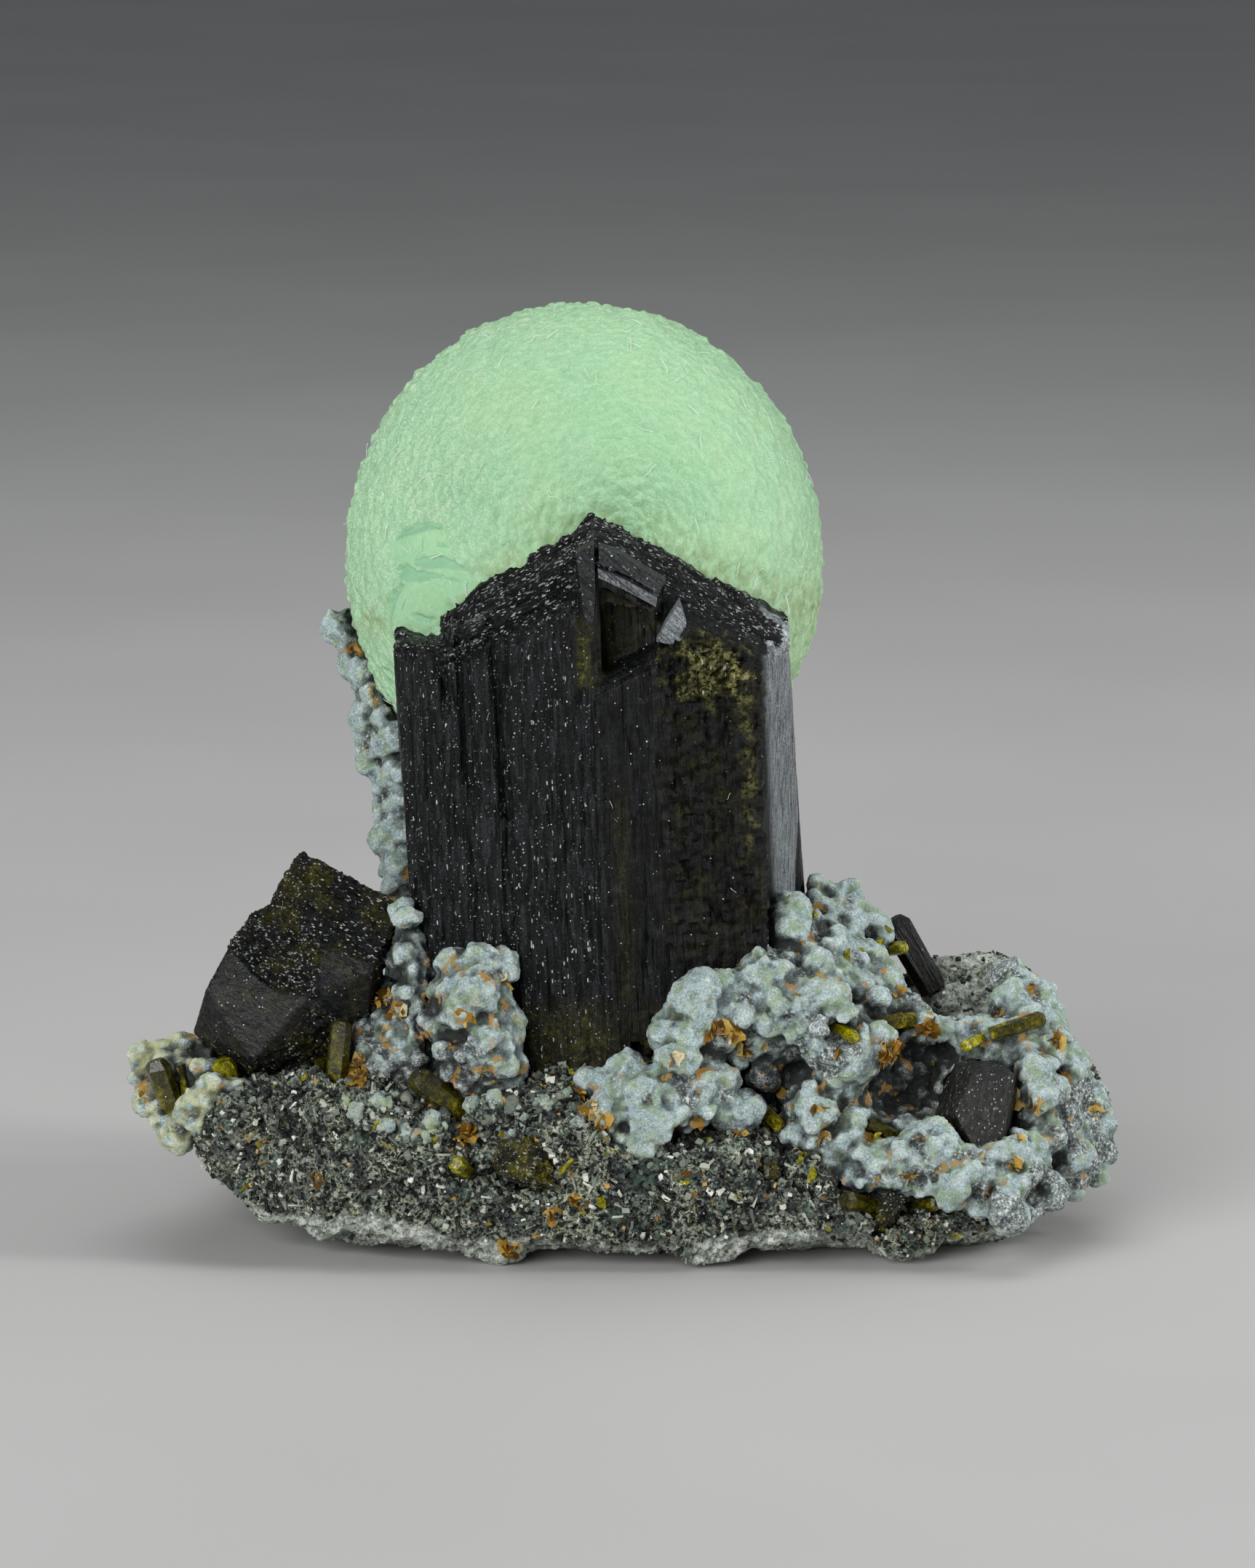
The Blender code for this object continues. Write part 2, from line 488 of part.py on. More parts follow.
ROCK_BLOCKS = [
    # the plate, from its flat underside to its upper edge
    [(-18, -4, -1), (-9, -7, -1), (0, -7, -1), (14, -6.5, -1), (22, -7, -1), (25, 0, -1), (20, 11, -1),
     (8, 15, -1), (-8, 15, -1), (-17, 7, -1),
     (-20, -13.8, 1.9), (-22.3, -13.2, 2.5), (-24.8, -11.5, 4.0), (-27.4, -9.5, 5.6), (-12, -16.4, 1.6),
     (0, -17.4, 1.7), (14, -17.0, 2.3), (22, -15.0, 1.8), (26.5, -11.5, 2.4), (28.6, -7.5, 3.4),
     (30.0, -4.0, 4.6), (27, 8, 5), (12, 17.0, 4), (-10, 17, 4), (-23, 9, 5),
     (-22, -15.2, 8.0), (-8, -17.2, 7.2), (8, -17.2, 7.0), (20, -15.4, 7.4),
     (28, -6, 9), (26, 8, 9), (10, 16, 9), (-12, 16, 9), (-25, 6, 10), (-27, -8, 9.5)],
    # the left-hand end
    [(-31.0, -6.0, 11.6), (-31.2, -4.5, 11.4), (-30.2, -7.5, 8.6), (-28.0, -12.5, 8.2),
     (-24.5, -15.0, 10.2), (-26.0, -13.0, 10.6), (-28.0, -3.0, 11.8), (-20, -4, 13.0), (-20, -14, 9),
     (-20, 6, 12), (-27.5, 3, 10.5), (-24, -12, 4.6), (-20, 0, 3), (-27, 0, 7.5)],
    # the step that the crystals stand on
    [(-25, -14.6, 10.0), (-12, -15.8, 9.8), (0, -15.8, 9.4), (12, -14.6, 8.6), (20, -8, 9.0),
     (-24, -9, 11.6), (-12, -11.0, 12.6), (2, -11.0, 12.4), (10, -9, 12.5), (20, 8, 12),
     (-20, 6, 12.5), (-8, 12, 12.5), (10, 12, 12.5), (-20, -10, 3), (20, -10, 3), (14, 12, 3), (-14, 12, 3)],
    # the mound beside the main crystal
    [(9, -3, 20.0), (13.0, -2.0, 20.4), (14.2, 1.0, 18.8), (9, 4, 20), (16.4, -1, 15.0), (17, 4, 13.5),
     (12, 8, 15), (8, 8, 15), (8, -6, 8), (14, -5.5, 8), (18, -4.5, 8), (18, 6, 7), (10, 10, 7)],
    # the mound behind the right-hand hollow
    [(19.6, 0.6, 16.2), (21.5, 0.2, 17.0), (24.6, 0.4, 16.8), (26.8, -1.6, 15.0), (28.4, -3, 12.5),
     (29.5, -3.5, 9.0), (26, 6, 14), (19, 6, 14), (16, 3, 13.5), (17, -3.5, 9), (22, -4.5, 10),
     (28, -5, 7), (28, 5, 7), (16, 6, 7)],
    # the right-hand end and the bank under the front ridge
    [(30.9, -4.5, 8.0), (31.0, -5.0, 6.0), (30.2, -5.0, 11), (28.4, -9.5, 3.2), (26, -12.5, 3.0),
     (26.0, -12.5, 7.5), (29.8, -7.5, 7.5), (30.0, 0, 5.5), (28, 3, 9), (22, -8, 4), (22, -12, 7)],
    [(10.5, -13.6, 8.6), (14, -14.4, 8.4), (20, -14.8, 8.2), (25, -13.4, 7.6), (12, -16.8, 3),
     (22, -15.6, 3), (12, -11.5, 7.6), (24, -11, 7.6), (16, -11, 4)],
]
ROCK_LUMPS = [
    # the three bumps under the front edge, then swells on the front and on the back
    ((-7.6, -14.9, 1.9), (2.2, 2.0, 2.0)), ((5.4, -15.4, 2.1), (2.8, 2.2, 2.1)),
    ((17.6, -14.3, 2.0), (2.6, 2.1, 2.0)), ((-2.0, -16.2, 6.8), (5.0, 1.8, 3.6)),
    ((-15.0, -14.4, 7.0), (6.0, 2.2, 3.8)), ((6.5, -16.0, 5.0), (5.0, 2.0, 3.0)),
    ((16.0, -15.0, 4.6), (5.5, 2.2, 2.6)), ((-6.0, 13.0, 9.0), (10.0, 6.0, 6.0)),
    ((8.0, 12.0, 8.0), (8.0, 6.5, 6.0)), ((-18.0, 5.0, 8.0), (8.0, 7.0, 5.5)),
    ((22.0, 4.0, 9.0), (7.5, 7.5, 6.0)), ((-6.0, -13.6, 9.8), (5.0, 2.4, 2.2)),
    ((-18.5, -12.6, 10.2), (5.0, 2.4, 2.0)),
]


def make_rock():
    bm = bmesh.new()
    for block in ROCK_BLOCKS:
        add_hull(bm, block)
    for centre, radii in ROCK_LUMPS:
        add_lump(bm, centre, radii)
    obj = add_object("matrix", bm, ROCK)
    melt(obj, ROCK_VOXEL)
    roughen(obj, 0.5, 2.4)
    return obj


def main():
    for obj in list(bpy.data.objects):
        bpy.data.objects.remove(obj)
    main_crystal = make_main_crystal()
    crystals = [main_crystal, make_left_crystal(), make_block("epidote_tabular", TABULAR, EPIDOTE_DARK)]
    for row in PRISMS:
        prism = make_prism(*row)
        make_room(prism, crystals)
        keep_biggest(prism)
        crystals.append(prism)
    ball = make_ball()
    make_room(ball, [main_crystal])
    keep_biggest(ball)
    crusts = [make_crust(name) for name in CRUSTS]
    for index, crust in enumerate(crusts):
        triangles = CRUST_TRIANGLES_PER_LUMP * len(CRUSTS[crust.name])
        fit(crust, crystals + [ball] + crusts[:index], CRUST_VOXEL, triangles)
    rock = make_rock()
    fit(rock, crystals + [ball] + crusts, ROCK_VOXEL, ROCK_TRIANGLES)
    plane_cut(rock, (0, 0, 0), (0, 0, -1))
    for obj in crystals + [ball, rock] + crusts:
        obj.data.transform(Matrix.Diagonal((MM, MM, MM, 1)) @ Matrix.Translation(-BOX_MIDDLE))


main()
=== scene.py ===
"""The looks of a prehnite ball behind epidote crystals, on its plate of host rock.

Lengths are in millimetres in the frame of the solids, until a mesh is made in metres.
"""

import math
import random

import bmesh
import bpy
import numpy as np
from mathutils import Matrix, Vector, kdtree, noise
from mathutils.bvhtree import BVHTree


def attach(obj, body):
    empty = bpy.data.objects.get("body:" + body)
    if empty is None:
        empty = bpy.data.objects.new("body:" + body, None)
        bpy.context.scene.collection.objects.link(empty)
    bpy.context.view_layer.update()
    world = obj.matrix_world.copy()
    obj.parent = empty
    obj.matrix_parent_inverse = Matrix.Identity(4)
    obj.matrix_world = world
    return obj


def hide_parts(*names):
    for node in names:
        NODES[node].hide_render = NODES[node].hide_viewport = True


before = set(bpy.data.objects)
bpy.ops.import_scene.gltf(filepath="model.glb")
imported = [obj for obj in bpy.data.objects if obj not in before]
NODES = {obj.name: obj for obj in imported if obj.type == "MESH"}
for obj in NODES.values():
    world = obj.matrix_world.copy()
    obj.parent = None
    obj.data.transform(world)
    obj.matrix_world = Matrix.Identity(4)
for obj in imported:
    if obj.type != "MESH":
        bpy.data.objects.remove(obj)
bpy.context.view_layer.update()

MM = 0.001

# The front view: places on it are twentieths of a millimetre from its top left corner.
VIEW_TILT = math.radians(10)
VIEW_RANGE = 450.0
VIEW_AIM = Vector((0.2, -4.5, 28.6))
VIEW_STEPS_PER_MM = 20
VIEW_MIDDLE = (800, 1000)
VIEW_HEIGHT = 100.0
SENSOR = 36.0

# The ball.
BALL_CENTRE = Vector((-2.6, 5.3, 41.75))
BALL_RADII = Vector((15.35, 13.9, 16.45))
BALL_TILT = math.radians(-4)
BALL_GRID = 128
BALL_DENSE_SIDE = Vector((0.0, -0.85, 0.5))
BALL_DENSITY_PULL = 0.36
SCALE_COUNT = 5200
SCALE_HEIGHT = 0.19
GROWTH_PLACE = Vector((0.0, -9.0, 44.5))

# The main crystal, in its own upright frame.
CRYSTAL_FOOT = Vector((-0.55, -1.0, 8.0))
CRYSTAL_LEAN = math.radians(-2.5)
CRYSTAL_VOXEL = 0.21

ROCK_VOXEL = 0.27
CRUST_VOXEL = 0.17
SNUG_REACH = 0.8
SNUG_GROWTH = 0.4
BUD_ROOM = 0.32


def seen(across, down, depth):
    """The point at this depth that the front view shows at (across, down)."""
    up = Vector((0, math.sin(VIEW_TILT), math.cos(VIEW_TILT)))
    eye = VIEW_AIM + Vector((0, -math.cos(VIEW_TILT), math.sin(VIEW_TILT))) * VIEW_RANGE
    right = Vector(((across - VIEW_MIDDLE[0]) / VIEW_STEPS_PER_MM, 0, 0))
    ray = VIEW_AIM + right + up * ((VIEW_MIDDLE[1] - down) / VIEW_STEPS_PER_MM) - eye
    return eye + ray * ((depth - eye.y) / ray.y)


def view_places(points):
    """Where the front view shows each point, as two arrays of across and down."""
    eye = VIEW_AIM + Vector((0, -math.cos(VIEW_TILT), math.sin(VIEW_TILT))) * VIEW_RANGE
    rays = points - np.array(eye)
    ahead = rays @ np.array((0, math.cos(VIEW_TILT), -math.sin(VIEW_TILT)))
    up = rays @ np.array((0, math.sin(VIEW_TILT), math.cos(VIEW_TILT)))
    across = VIEW_MIDDLE[0] + rays[:, 0] / ahead * VIEW_RANGE * VIEW_STEPS_PER_MM
    down = VIEW_MIDDLE[1] - up / ahead * VIEW_RANGE * VIEW_STEPS_PER_MM
    return across, down


# Small tools for meshes.

def add_piece(name, mesh):
    obj = bpy.data.objects.new(name, mesh)
    bpy.context.scene.collection.objects.link(obj)
    return obj


def mesh_of(bm, name):
    mesh = bpy.data.meshes.new(name)
    bm.to_mesh(mesh)
    bm.free()
    return mesh


def copy_of(node, name):
    """A copy of a solid, with its loose triangles merged."""
    bm = bmesh.new()
    bm.from_mesh(NODES[node].data)
    bmesh.ops.remove_doubles(bm, verts=bm.verts, dist=1e-6)
    return add_piece(name, mesh_of(bm, name))


def bake(obj):
    """Replaces the object's mesh by what its modifiers make of it."""
    bpy.context.view_layer.update()
    graph = bpy.context.evaluated_depsgraph_get()
    made = bpy.data.meshes.new_from_object(obj.evaluated_get(graph), depsgraph=graph)
    obj.modifiers.clear()
    old, obj.data = obj.data, made
    made.name = obj.name
    bpy.data.meshes.remove(old)


def join(obj, others):
    """Adds the other objects' faces to this one, and removes them."""
    bm = bmesh.new()
    for part in [obj] + others:
        bm.from_mesh(part.data)
    bm.to_mesh(obj.data)
    bm.free()
    for part in others:
        bpy.data.objects.remove(part)


def remesh(obj, voxel):
    """Gives everything in the object one closed skin of even squares."""
    step = obj.modifiers.new("Skin", "REMESH")
    step.mode = "VOXEL"
    step.voxel_size = voxel * MM
    bake(obj)


def places(mesh):
    """The mesh's points, in millimetres."""
    flat = np.empty(len(mesh.vertices) * 3)
    mesh.vertices.foreach_get("co", flat)
    return flat.reshape(-1, 3) / MM


def place(mesh, points):
    mesh.vertices.foreach_set("co", (points * MM).ravel())
    mesh.update()


def normals(mesh):
    flat = np.empty(len(mesh.vertices) * 3)
    mesh.vertex_normals.foreach_get("vector", flat)
    return flat.reshape(-1, 3)


def bumps(points, cell, octaves=3, shift=0.0):
    """Smooth noise about 0 at each point, with features of this size. cell may be three sizes."""
    scaled = points / np.array(cell) + shift
    return np.array([noise.fractal(Vector(p), 0.8, 2.0, octaves) for p in scaled])


def evened(mesh, values, rounds):
    """Averages an array of one row per point over neighbouring points, this many times."""
    ends = np.empty(len(mesh.edges) * 2, np.int64)
    mesh.edges.foreach_get("vertices", ends)
    a, b = ends.reshape(-1, 2).T
    count = np.bincount(a, minlength=len(values)) + np.bincount(b, minlength=len(values))
    count = np.maximum(count, 1)
    for _ in range(rounds):
        total = np.zeros_like(values)
        for axis in range(values.shape[1]):
            total[:, axis] = np.bincount(a, values[b, axis], len(values))
            total[:, axis] += np.bincount(b, values[a, axis], len(values))
        values = 0.5 * values + 0.5 * total / count[:, None]
    return values


def store(mesh, name, values):
    """Keeps one number or one vector for each point, for a material or a tree to read."""
    kind, field = ("FLOAT", "value") if values.ndim == 1 else ("FLOAT_VECTOR", "vector")
    layer = mesh.attributes.new(name, kind, "POINT")
    layer.data.foreach_set(field, values.astype(np.float32).ravel())


def hollowness(mesh, rounds=14, depth=0.12):
    """0 on crests and 1 in hollows, as measured against the evened surface."""
    points = places(mesh)
    low = np.einsum("ij,ij->i", evened(mesh, points, rounds) - points, normals(mesh))
    return np.clip(0.5 + low / (2 * depth), 0, 1)


def shelter(obj, others, reach):
    """The share of the outward directions, at each point, that something within reach blocks."""
    blocks = tree_of_faces([obj] + others)
    mesh = obj.data
    points, out = places(mesh) * MM, normals(mesh)
    side = np.cross(out, (0.3, 0.9, 0.2))
    side /= np.linalg.norm(side, axis=1)[:, None] + 1e-9
    other = np.cross(out, side)
    starts = points + out * 0.12 * MM
    blocked = np.zeros(len(points))
    for tilt, turn in ((0, 0), (0.8, 0.3), (0.8, 1.56), (0.8, 2.8), (0.8, 4.1), (0.8, 5.3), (1.25, 1.0),
                       (1.25, 3.1), (1.25, 5.2)):
        flat = math.sin(tilt) * (math.cos(turn) * side + math.sin(turn) * other)
        ways = out * math.cos(tilt) + flat
        blocked += [blocks.ray_cast(Vector(p), Vector(w), reach * MM)[0] is not None
                    for p, w in zip(starts, ways)]
    return blocked / 9


def tree_of_faces(objects):
    """One search tree over the faces of these objects, in metres."""
    points, faces = [], []
    for obj in objects:
        start = len(points)
        points += [v.co.copy() for v in obj.data.vertices]
        faces += [[start + i for i in p.vertices] for p in obj.data.polygons]
    return BVHTree.FromPolygons(points, faces)


def snug(obj, neighbours, reach=SNUG_REACH, growth=SNUG_GROWTH):
    """Grows the skin where a neighbouring crystal or crust is near, so that the two touch."""
    near = tree_of_faces([NODES[name] for name in neighbours])
    points = places(obj.data)
    found = [near.find_nearest(Vector(p), reach * MM)[3] for p in points * MM]
    share = np.array([0.0 if d is None else min(1, 1.8 * (1 - d / MM / reach)) for d in found])
    place(obj.data, points + normals(obj.data) * (share * growth)[:, None])


def finish(obj, material, slot, *nodes):
    """Gives a finished piece its material, hangs it from the root body and hides the solids that it replaces."""
    obj.data.materials.clear()
    obj.data.materials.append(material)
    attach(obj, "root")
    if nodes:
        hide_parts(*nodes)


# Small tools for node trees, of shaders and of geometry.

def put(tree, kind, inputs=None, **settings):
    """Adds a node, with its settings and with values or links for its inputs."""
    made = tree.nodes.new(kind)
    for key, value in settings.items():
        setattr(made, key, value)
    for key, value in (inputs or {}).items():
        if isinstance(value, bpy.types.NodeSocket):
            tree.links.new(value, made.inputs[key])
        else:
            made.inputs[key].default_value = value
    return made


def calc(tree, operation, *values):
    return put(tree, "ShaderNodeMath", dict(enumerate(values)), operation=operation).outputs[0]


def vector(tree, operation, *values):
    made = put(tree, "ShaderNodeVectorMath", dict(enumerate(values)), operation=operation)
    return made.outputs["Value" if operation in ("DOT_PRODUCT", "LENGTH") else "Vector"]


def ramp(tree, factor, stops, interpolation="LINEAR"):
    """A colour or a level for each place along the factor: (place, colour) or (place, level)."""
    made = put(tree, "ShaderNodeValToRGB", {0: factor})
    made.color_ramp.interpolation = interpolation
    marks = made.color_ramp.elements
    while len(marks) < len(stops):
        marks.new(0.5)
    for mark, (at, colour) in zip(marks, stops):
        mark.position = at
        mark.color = colour if isinstance(colour, tuple) else (colour, colour, colour, 1)
    return made.outputs[0]


def mixed(tree, share, first, second, blend="MIX"):
    """Two colours mixed."""
    made = put(tree, "ShaderNodeMix", {0: share, 6: first, 7: second}, data_type="RGBA", blend_type=blend)
    return made.outputs[2]


def speckle(tree, where, size, detail=2.0, rough=0.5):
    """Noise with features of this size in millimetres."""
    made = put(tree, "ShaderNodeTexNoise",
               {"Vector": where, "Scale": 1 / (size * MM), "Detail": detail, "Roughness": rough})
    return made.outputs[0]


def srgb(red, green, blue):
    """A colour as a screen names it, in the linear light that materials use."""
    def level(value):
        value /= 255
        return value / 12.92 if value <= 0.04045 else ((value + 0.055) / 1.055) ** 2.4
    return (level(red), level(green), level(blue), 1)


def new_material(name, **values):
    """A material with its shader's plain numbers set, its tree, its shader and object places."""
    material = bpy.data.materials.new(name)
    material.use_nodes = True
    tree = material.node_tree
    shader = tree.nodes["Principled BSDF"]
    for key, value in values.items():
        shader.inputs[key.replace("_", " ")].default_value = value
    where = put(tree, "ShaderNodeTexCoord").outputs["Object"]
    return material, tree, shader, where


def wear(tree, shader, **sockets):
    for key, socket in sockets.items():
        tree.links.new(socket, shader.inputs[key.replace("_", " ")])


def raised(tree, height, distance, strength=1.0, under=None):
    """A bump of this height in millimetres."""
    inputs = {"Height": height, "Distance": distance * MM, "Strength": strength}
    if under:
        inputs["Normal"] = under
    return put(tree, "ShaderNodeBump", inputs).outputs[0]


def kept(tree, name):
    return put(tree, "ShaderNodeAttribute", attribute_name=name)


# Materials.

def prehnite_skin():
    """Waxy mint green, with fine overlapping scales that fan out from where the ball grew."""
    material, tree, shader, where = new_material(
        "prehnite_scales", Subsurface_Weight=0.18, Subsurface_Scale=0.0002, IOR=1.5,
        Specular_IOR_Level=0.35)
    shader.inputs["Subsurface Radius"].default_value = (0.9, 1.2, 0.8)
    wobble = put(tree, "ShaderNodeTexNoise", {"Vector": where, "Scale": 1400.0, "Detail": 2.0})
    sway = put(tree, "ShaderNodeVectorMath", {
        0: vector(tree, "SUBTRACT", wobble.outputs["Color"], (0.5, 0.5, 0.5)), "Scale": 0.0005},
        operation="SCALE").outputs[0]
    swayed = vector(tree, "ADD", where, sway)
    out = vector(tree, "NORMALIZE", vector(tree, "SUBTRACT", where, tuple(GROWTH_PLACE * MM)))
    heights = []
    for size in (0.60, 0.30):
        cells = put(tree, "ShaderNodeTexVoronoi", {"Vector": swayed, "Scale": 1 / (size * MM)})
        rise = vector(tree, "DOT_PRODUCT", vector(tree, "SUBTRACT", swayed, cells.outputs["Position"]), out)
        heights.append(calc(tree, "MULTIPLY", rise, 1 / (size * MM)))
    smooth = kept(tree, "smooth").outputs["Fac"]
    scaly = calc(tree, "SUBTRACT", 1.0, smooth)
    height = calc(tree, "ADD", heights[0], calc(tree, "MULTIPLY", heights[1], 0.6))
    height = calc(tree, "MULTIPLY", height, scaly)
    bump = raised(tree, height, 0.14, 0.75)
    bump = raised(tree, calc(tree, "MULTIPLY", speckle(tree, where, 0.16, 4.0, 0.7),
                             calc(tree, "MULTIPLY_ADD", scaly, 0.7, 0.3)), 0.09, 0.8, bump)
    body = ramp(tree, speckle(tree, where, 4.5, 2.0), [
        (0.32, srgb(152, 202, 156)), (0.5, srgb(160, 206, 160)), (0.68, srgb(168, 206, 158))])
    fine = ramp(tree, speckle(tree, where, 0.45, 4.0, 0.65), [
        (0.3, srgb(138, 188, 142)), (0.52, srgb(162, 207, 162)), (0.72, srgb(190, 222, 188))])
    colour = mixed(tree, 0.36, body, fine)
    low = kept(tree, "low").outputs["Fac"]
    colour = mixed(tree, calc(tree, "MULTIPLY", low, 0.6), colour, srgb(186, 206, 150))
    # painted shadow: a dark line where each scale drops to the next
    edge = ramp(tree, heights[0], [(0.0, 1.0), (0.12, 0.0)])
    edge = calc(tree, "MULTIPLY", calc(tree, "MULTIPLY", edge, scaly), 0.5)
    colour = mixed(tree, edge, colour, srgb(112, 156, 112))
    # painted highlight: white spots on the raised free edge of each scale
    highlight_spots = ramp(tree, speckle(tree, swayed, 0.2, 3.0, 0.7), [(0.55, 0.0), (0.66, 1.0)])
    crest = calc(tree, "MULTIPLY", ramp(tree, heights[0], [(0.30, 0.0), (0.5, 1.0)]), highlight_spots)
    colour = mixed(tree, calc(tree, "MULTIPLY", calc(tree, "MULTIPLY", crest, scaly), 0.55),
                   colour, srgb(226, 240, 220))
    # painted glints: fine white specks, as many as the share kept on the mesh allows
    white_glint_share = kept(tree, "frost").outputs["Fac"]
    frost = ramp(tree, speckle(tree, swayed, 0.13, 3.0, 0.8), [(0.5, 0.0), (0.6, 1.0)])
    colour = mixed(tree, calc(tree, "MULTIPLY", frost, white_glint_share), colour, srgb(228, 240, 224))
    pits = ramp(tree, speckle(tree, where, 0.17, 3.0, 0.8), [(0.38, 1.0), (0.46, 0.0)])
    colour = mixed(tree, calc(tree, "MULTIPLY", pits, calc(tree, "MULTIPLY_ADD", scaly, 0.25, 0.1)), colour,
                   srgb(118, 164, 124))
    shade = kept(tree, "shade").outputs["Fac"]
    colour = mixed(tree, calc(tree, "MULTIPLY", shade, 0.55), colour, srgb(132, 146, 92))
    facet = kept(tree, "facet").outputs["Fac"]
    colour = mixed(tree, calc(tree, "MULTIPLY", facet, 0.6), colour, srgb(128, 176, 146))
    specks = put(tree, "ShaderNodeTexVoronoi", {"Vector": where, "Scale": 1 / (1.5 * MM)})
    dots = ramp(tree, specks.outputs["Distance"], [(0.026, 1.0), (0.034, 0.0)])
    some = ramp(tree, put(tree, "ShaderNodeSeparateColor", {0: specks.outputs["Color"]}).outputs[0],
                [(0.80, 0.0), (0.81, 1.0)])
    colour = mixed(tree, calc(tree, "MULTIPLY", dots, some), colour, srgb(30, 34, 26))
    gloss = ramp(tree, speckle(tree, where, 0.5, 3.0), [(0.3, 0.34), (0.7, 0.58)])
    wear(tree, shader, Base_Color=colour, Roughness=gloss, Normal=bump)
    return material


def epidote_skin(name, black, olive, gloss, groove=0.05, clear=0.5, dash=2.6, **values):
    """Striated epidote, near black or olive where light gets through, with bright specks of dust and painted glints,
    painted glint dashes where it is rough and a painted reflection where it is pale.
    """
    material, tree, shader, where = new_material(name, IOR=1.73, **{"Specular_IOR_Level": 0.08, **values})
    way = kept(tree, "way").outputs["Vector"]
    lines = [put(tree, "ShaderNodeTexNoise", {
        "Vector": vector(tree, "MULTIPLY", way, stretch), "Scale": 1.0, "Detail": 3.0, "Roughness": 0.6,
    }).outputs[0] for stretch in ((2.2, 2.2, 0.10), (7.0, 7.0, 0.35))]
    ribs = put(tree, "ShaderNodeTexVoronoi", {"Vector": vector(tree, "MULTIPLY", way, (4.6, 4.6, 0.7)),
                                              "Scale": 1.0, "Randomness": 1.0})
    rib = put(tree, "ShaderNodeSeparateColor", {0: ribs.outputs["Color"]}).outputs
    height = calc(tree, "ADD", lines[0], calc(tree, "MULTIPLY", lines[1], 0.5))
    height = calc(tree, "ADD", height, calc(tree, "MULTIPLY", rib[0], 0.35))
    bump = raised(tree, height, groove * 4, 0.8)
    rough = kept(tree, "rough").outputs["Fac"]
    pitted = calc(tree, "MULTIPLY", speckle(tree, where, 0.26, 4.0, 0.7), rough)
    bump = raised(tree, pitted, 0.42, 1.0, bump)
    share = kept(tree, "olive").outputs["Fac"]
    patch = ramp(tree, speckle(tree, where, 0.9, 4.0, 0.65), [(0.42, 0.0), (0.62, 1.0)])
    depth = calc(tree, "MULTIPLY", share, calc(tree, "ADD", calc(tree, "MULTIPLY", patch, 0.75), 0.25))
    greens = ramp(tree, speckle(tree, where, 0.35, 3.0), [
        (0.3, tuple(0.3 * c for c in olive[:3]) + (1,)), (0.52, olive),
        (0.74, tuple(min(1, 2.4 * c) for c in olive[:3]) + (1,))])
    lump = ramp(tree, speckle(tree, where, 0.4, 3.0, 0.7), [
        (0.40, srgb(40, 40, 14)), (0.47, srgb(130, 128, 50)), (0.54, srgb(226, 224, 150))])
    lumps = kept(tree, "lumps").outputs["Fac"]
    greens = mixed(tree, lumps, greens, lump)
    depth = calc(tree, "MAXIMUM", depth, calc(tree, "MULTIPLY", lumps, 0.9))
    body = ramp(tree, calc(tree, "ADD", calc(tree, "MULTIPLY", lines[1], 0.6), calc(tree, "MULTIPLY", rib[1], 0.4)), [
        (0.3, tuple(0.35 * c for c in black[:3]) + (1,)), (0.5, black),
        (0.72, tuple(2.6 * c for c in black[:3]) + (1,))])
    colour = mixed(tree, depth, body, greens)
    # painted reflection: pale grey-blue streaks along the striations, where the pale value is set
    pale = kept(tree, "pale").outputs["Fac"]
    streak = ramp(tree, lines[1], [(0.36, 0.3), (0.48, 0.65), (0.57, 1.0)])
    colour = mixed(tree, calc(tree, "MULTIPLY", pale, streak), colour, srgb(196, 204, 210))
    dust = kept(tree, "dust").outputs["Fac"]
    # mottle, brighter where there are more specks: on dusty faces, and on the lit roof ledges as painted light
    mottle = ramp(tree, speckle(tree, where, 0.14, 3.0, 0.7), [(0.36, 0.2), (0.5, 0.8), (0.66, 1.0)])
    mottle = calc(tree, "MULTIPLY", mottle, calc(tree, "MULTIPLY_ADD", dust, 1.3, clear))
    colour = mixed(tree, 1.0, colour, mottle, "MULTIPLY")
    column = ramp(tree, lines[0], [(0.4, 0.15), (0.55, 1.0)])
    # bright specks: dust, and painted glints on the roof and the rough faces
    bright = []
    for size, reach, chance in ((0.42, 0.12, 0.4), (0.2, 0.27, 1.0)):
        cells = put(tree, "ShaderNodeTexVoronoi", {"Vector": where, "Scale": 1 / (size * MM)})
        pick = put(tree, "ShaderNodeSeparateColor", {0: cells.outputs["Color"]}).outputs
        dot = calc(tree, "LESS_THAN", cells.outputs["Distance"],
                   calc(tree, "MULTIPLY_ADD", pick[1], 0.5 * reach, 0.6 * reach))
        amount = calc(tree, "MULTIPLY", calc(tree, "MULTIPLY", dust, chance), column)
        picked = calc(tree, "GREATER_THAN", amount, pick[0])
        bright.append(calc(tree, "MULTIPLY", calc(tree, "MULTIPLY", dot, picked), calc(tree, "POWER", pick[2], 2.5)))
    specks = calc(tree, "MAXIMUM", *bright)
    colour = mixed(tree, specks, colour, srgb(206, 210, 208))
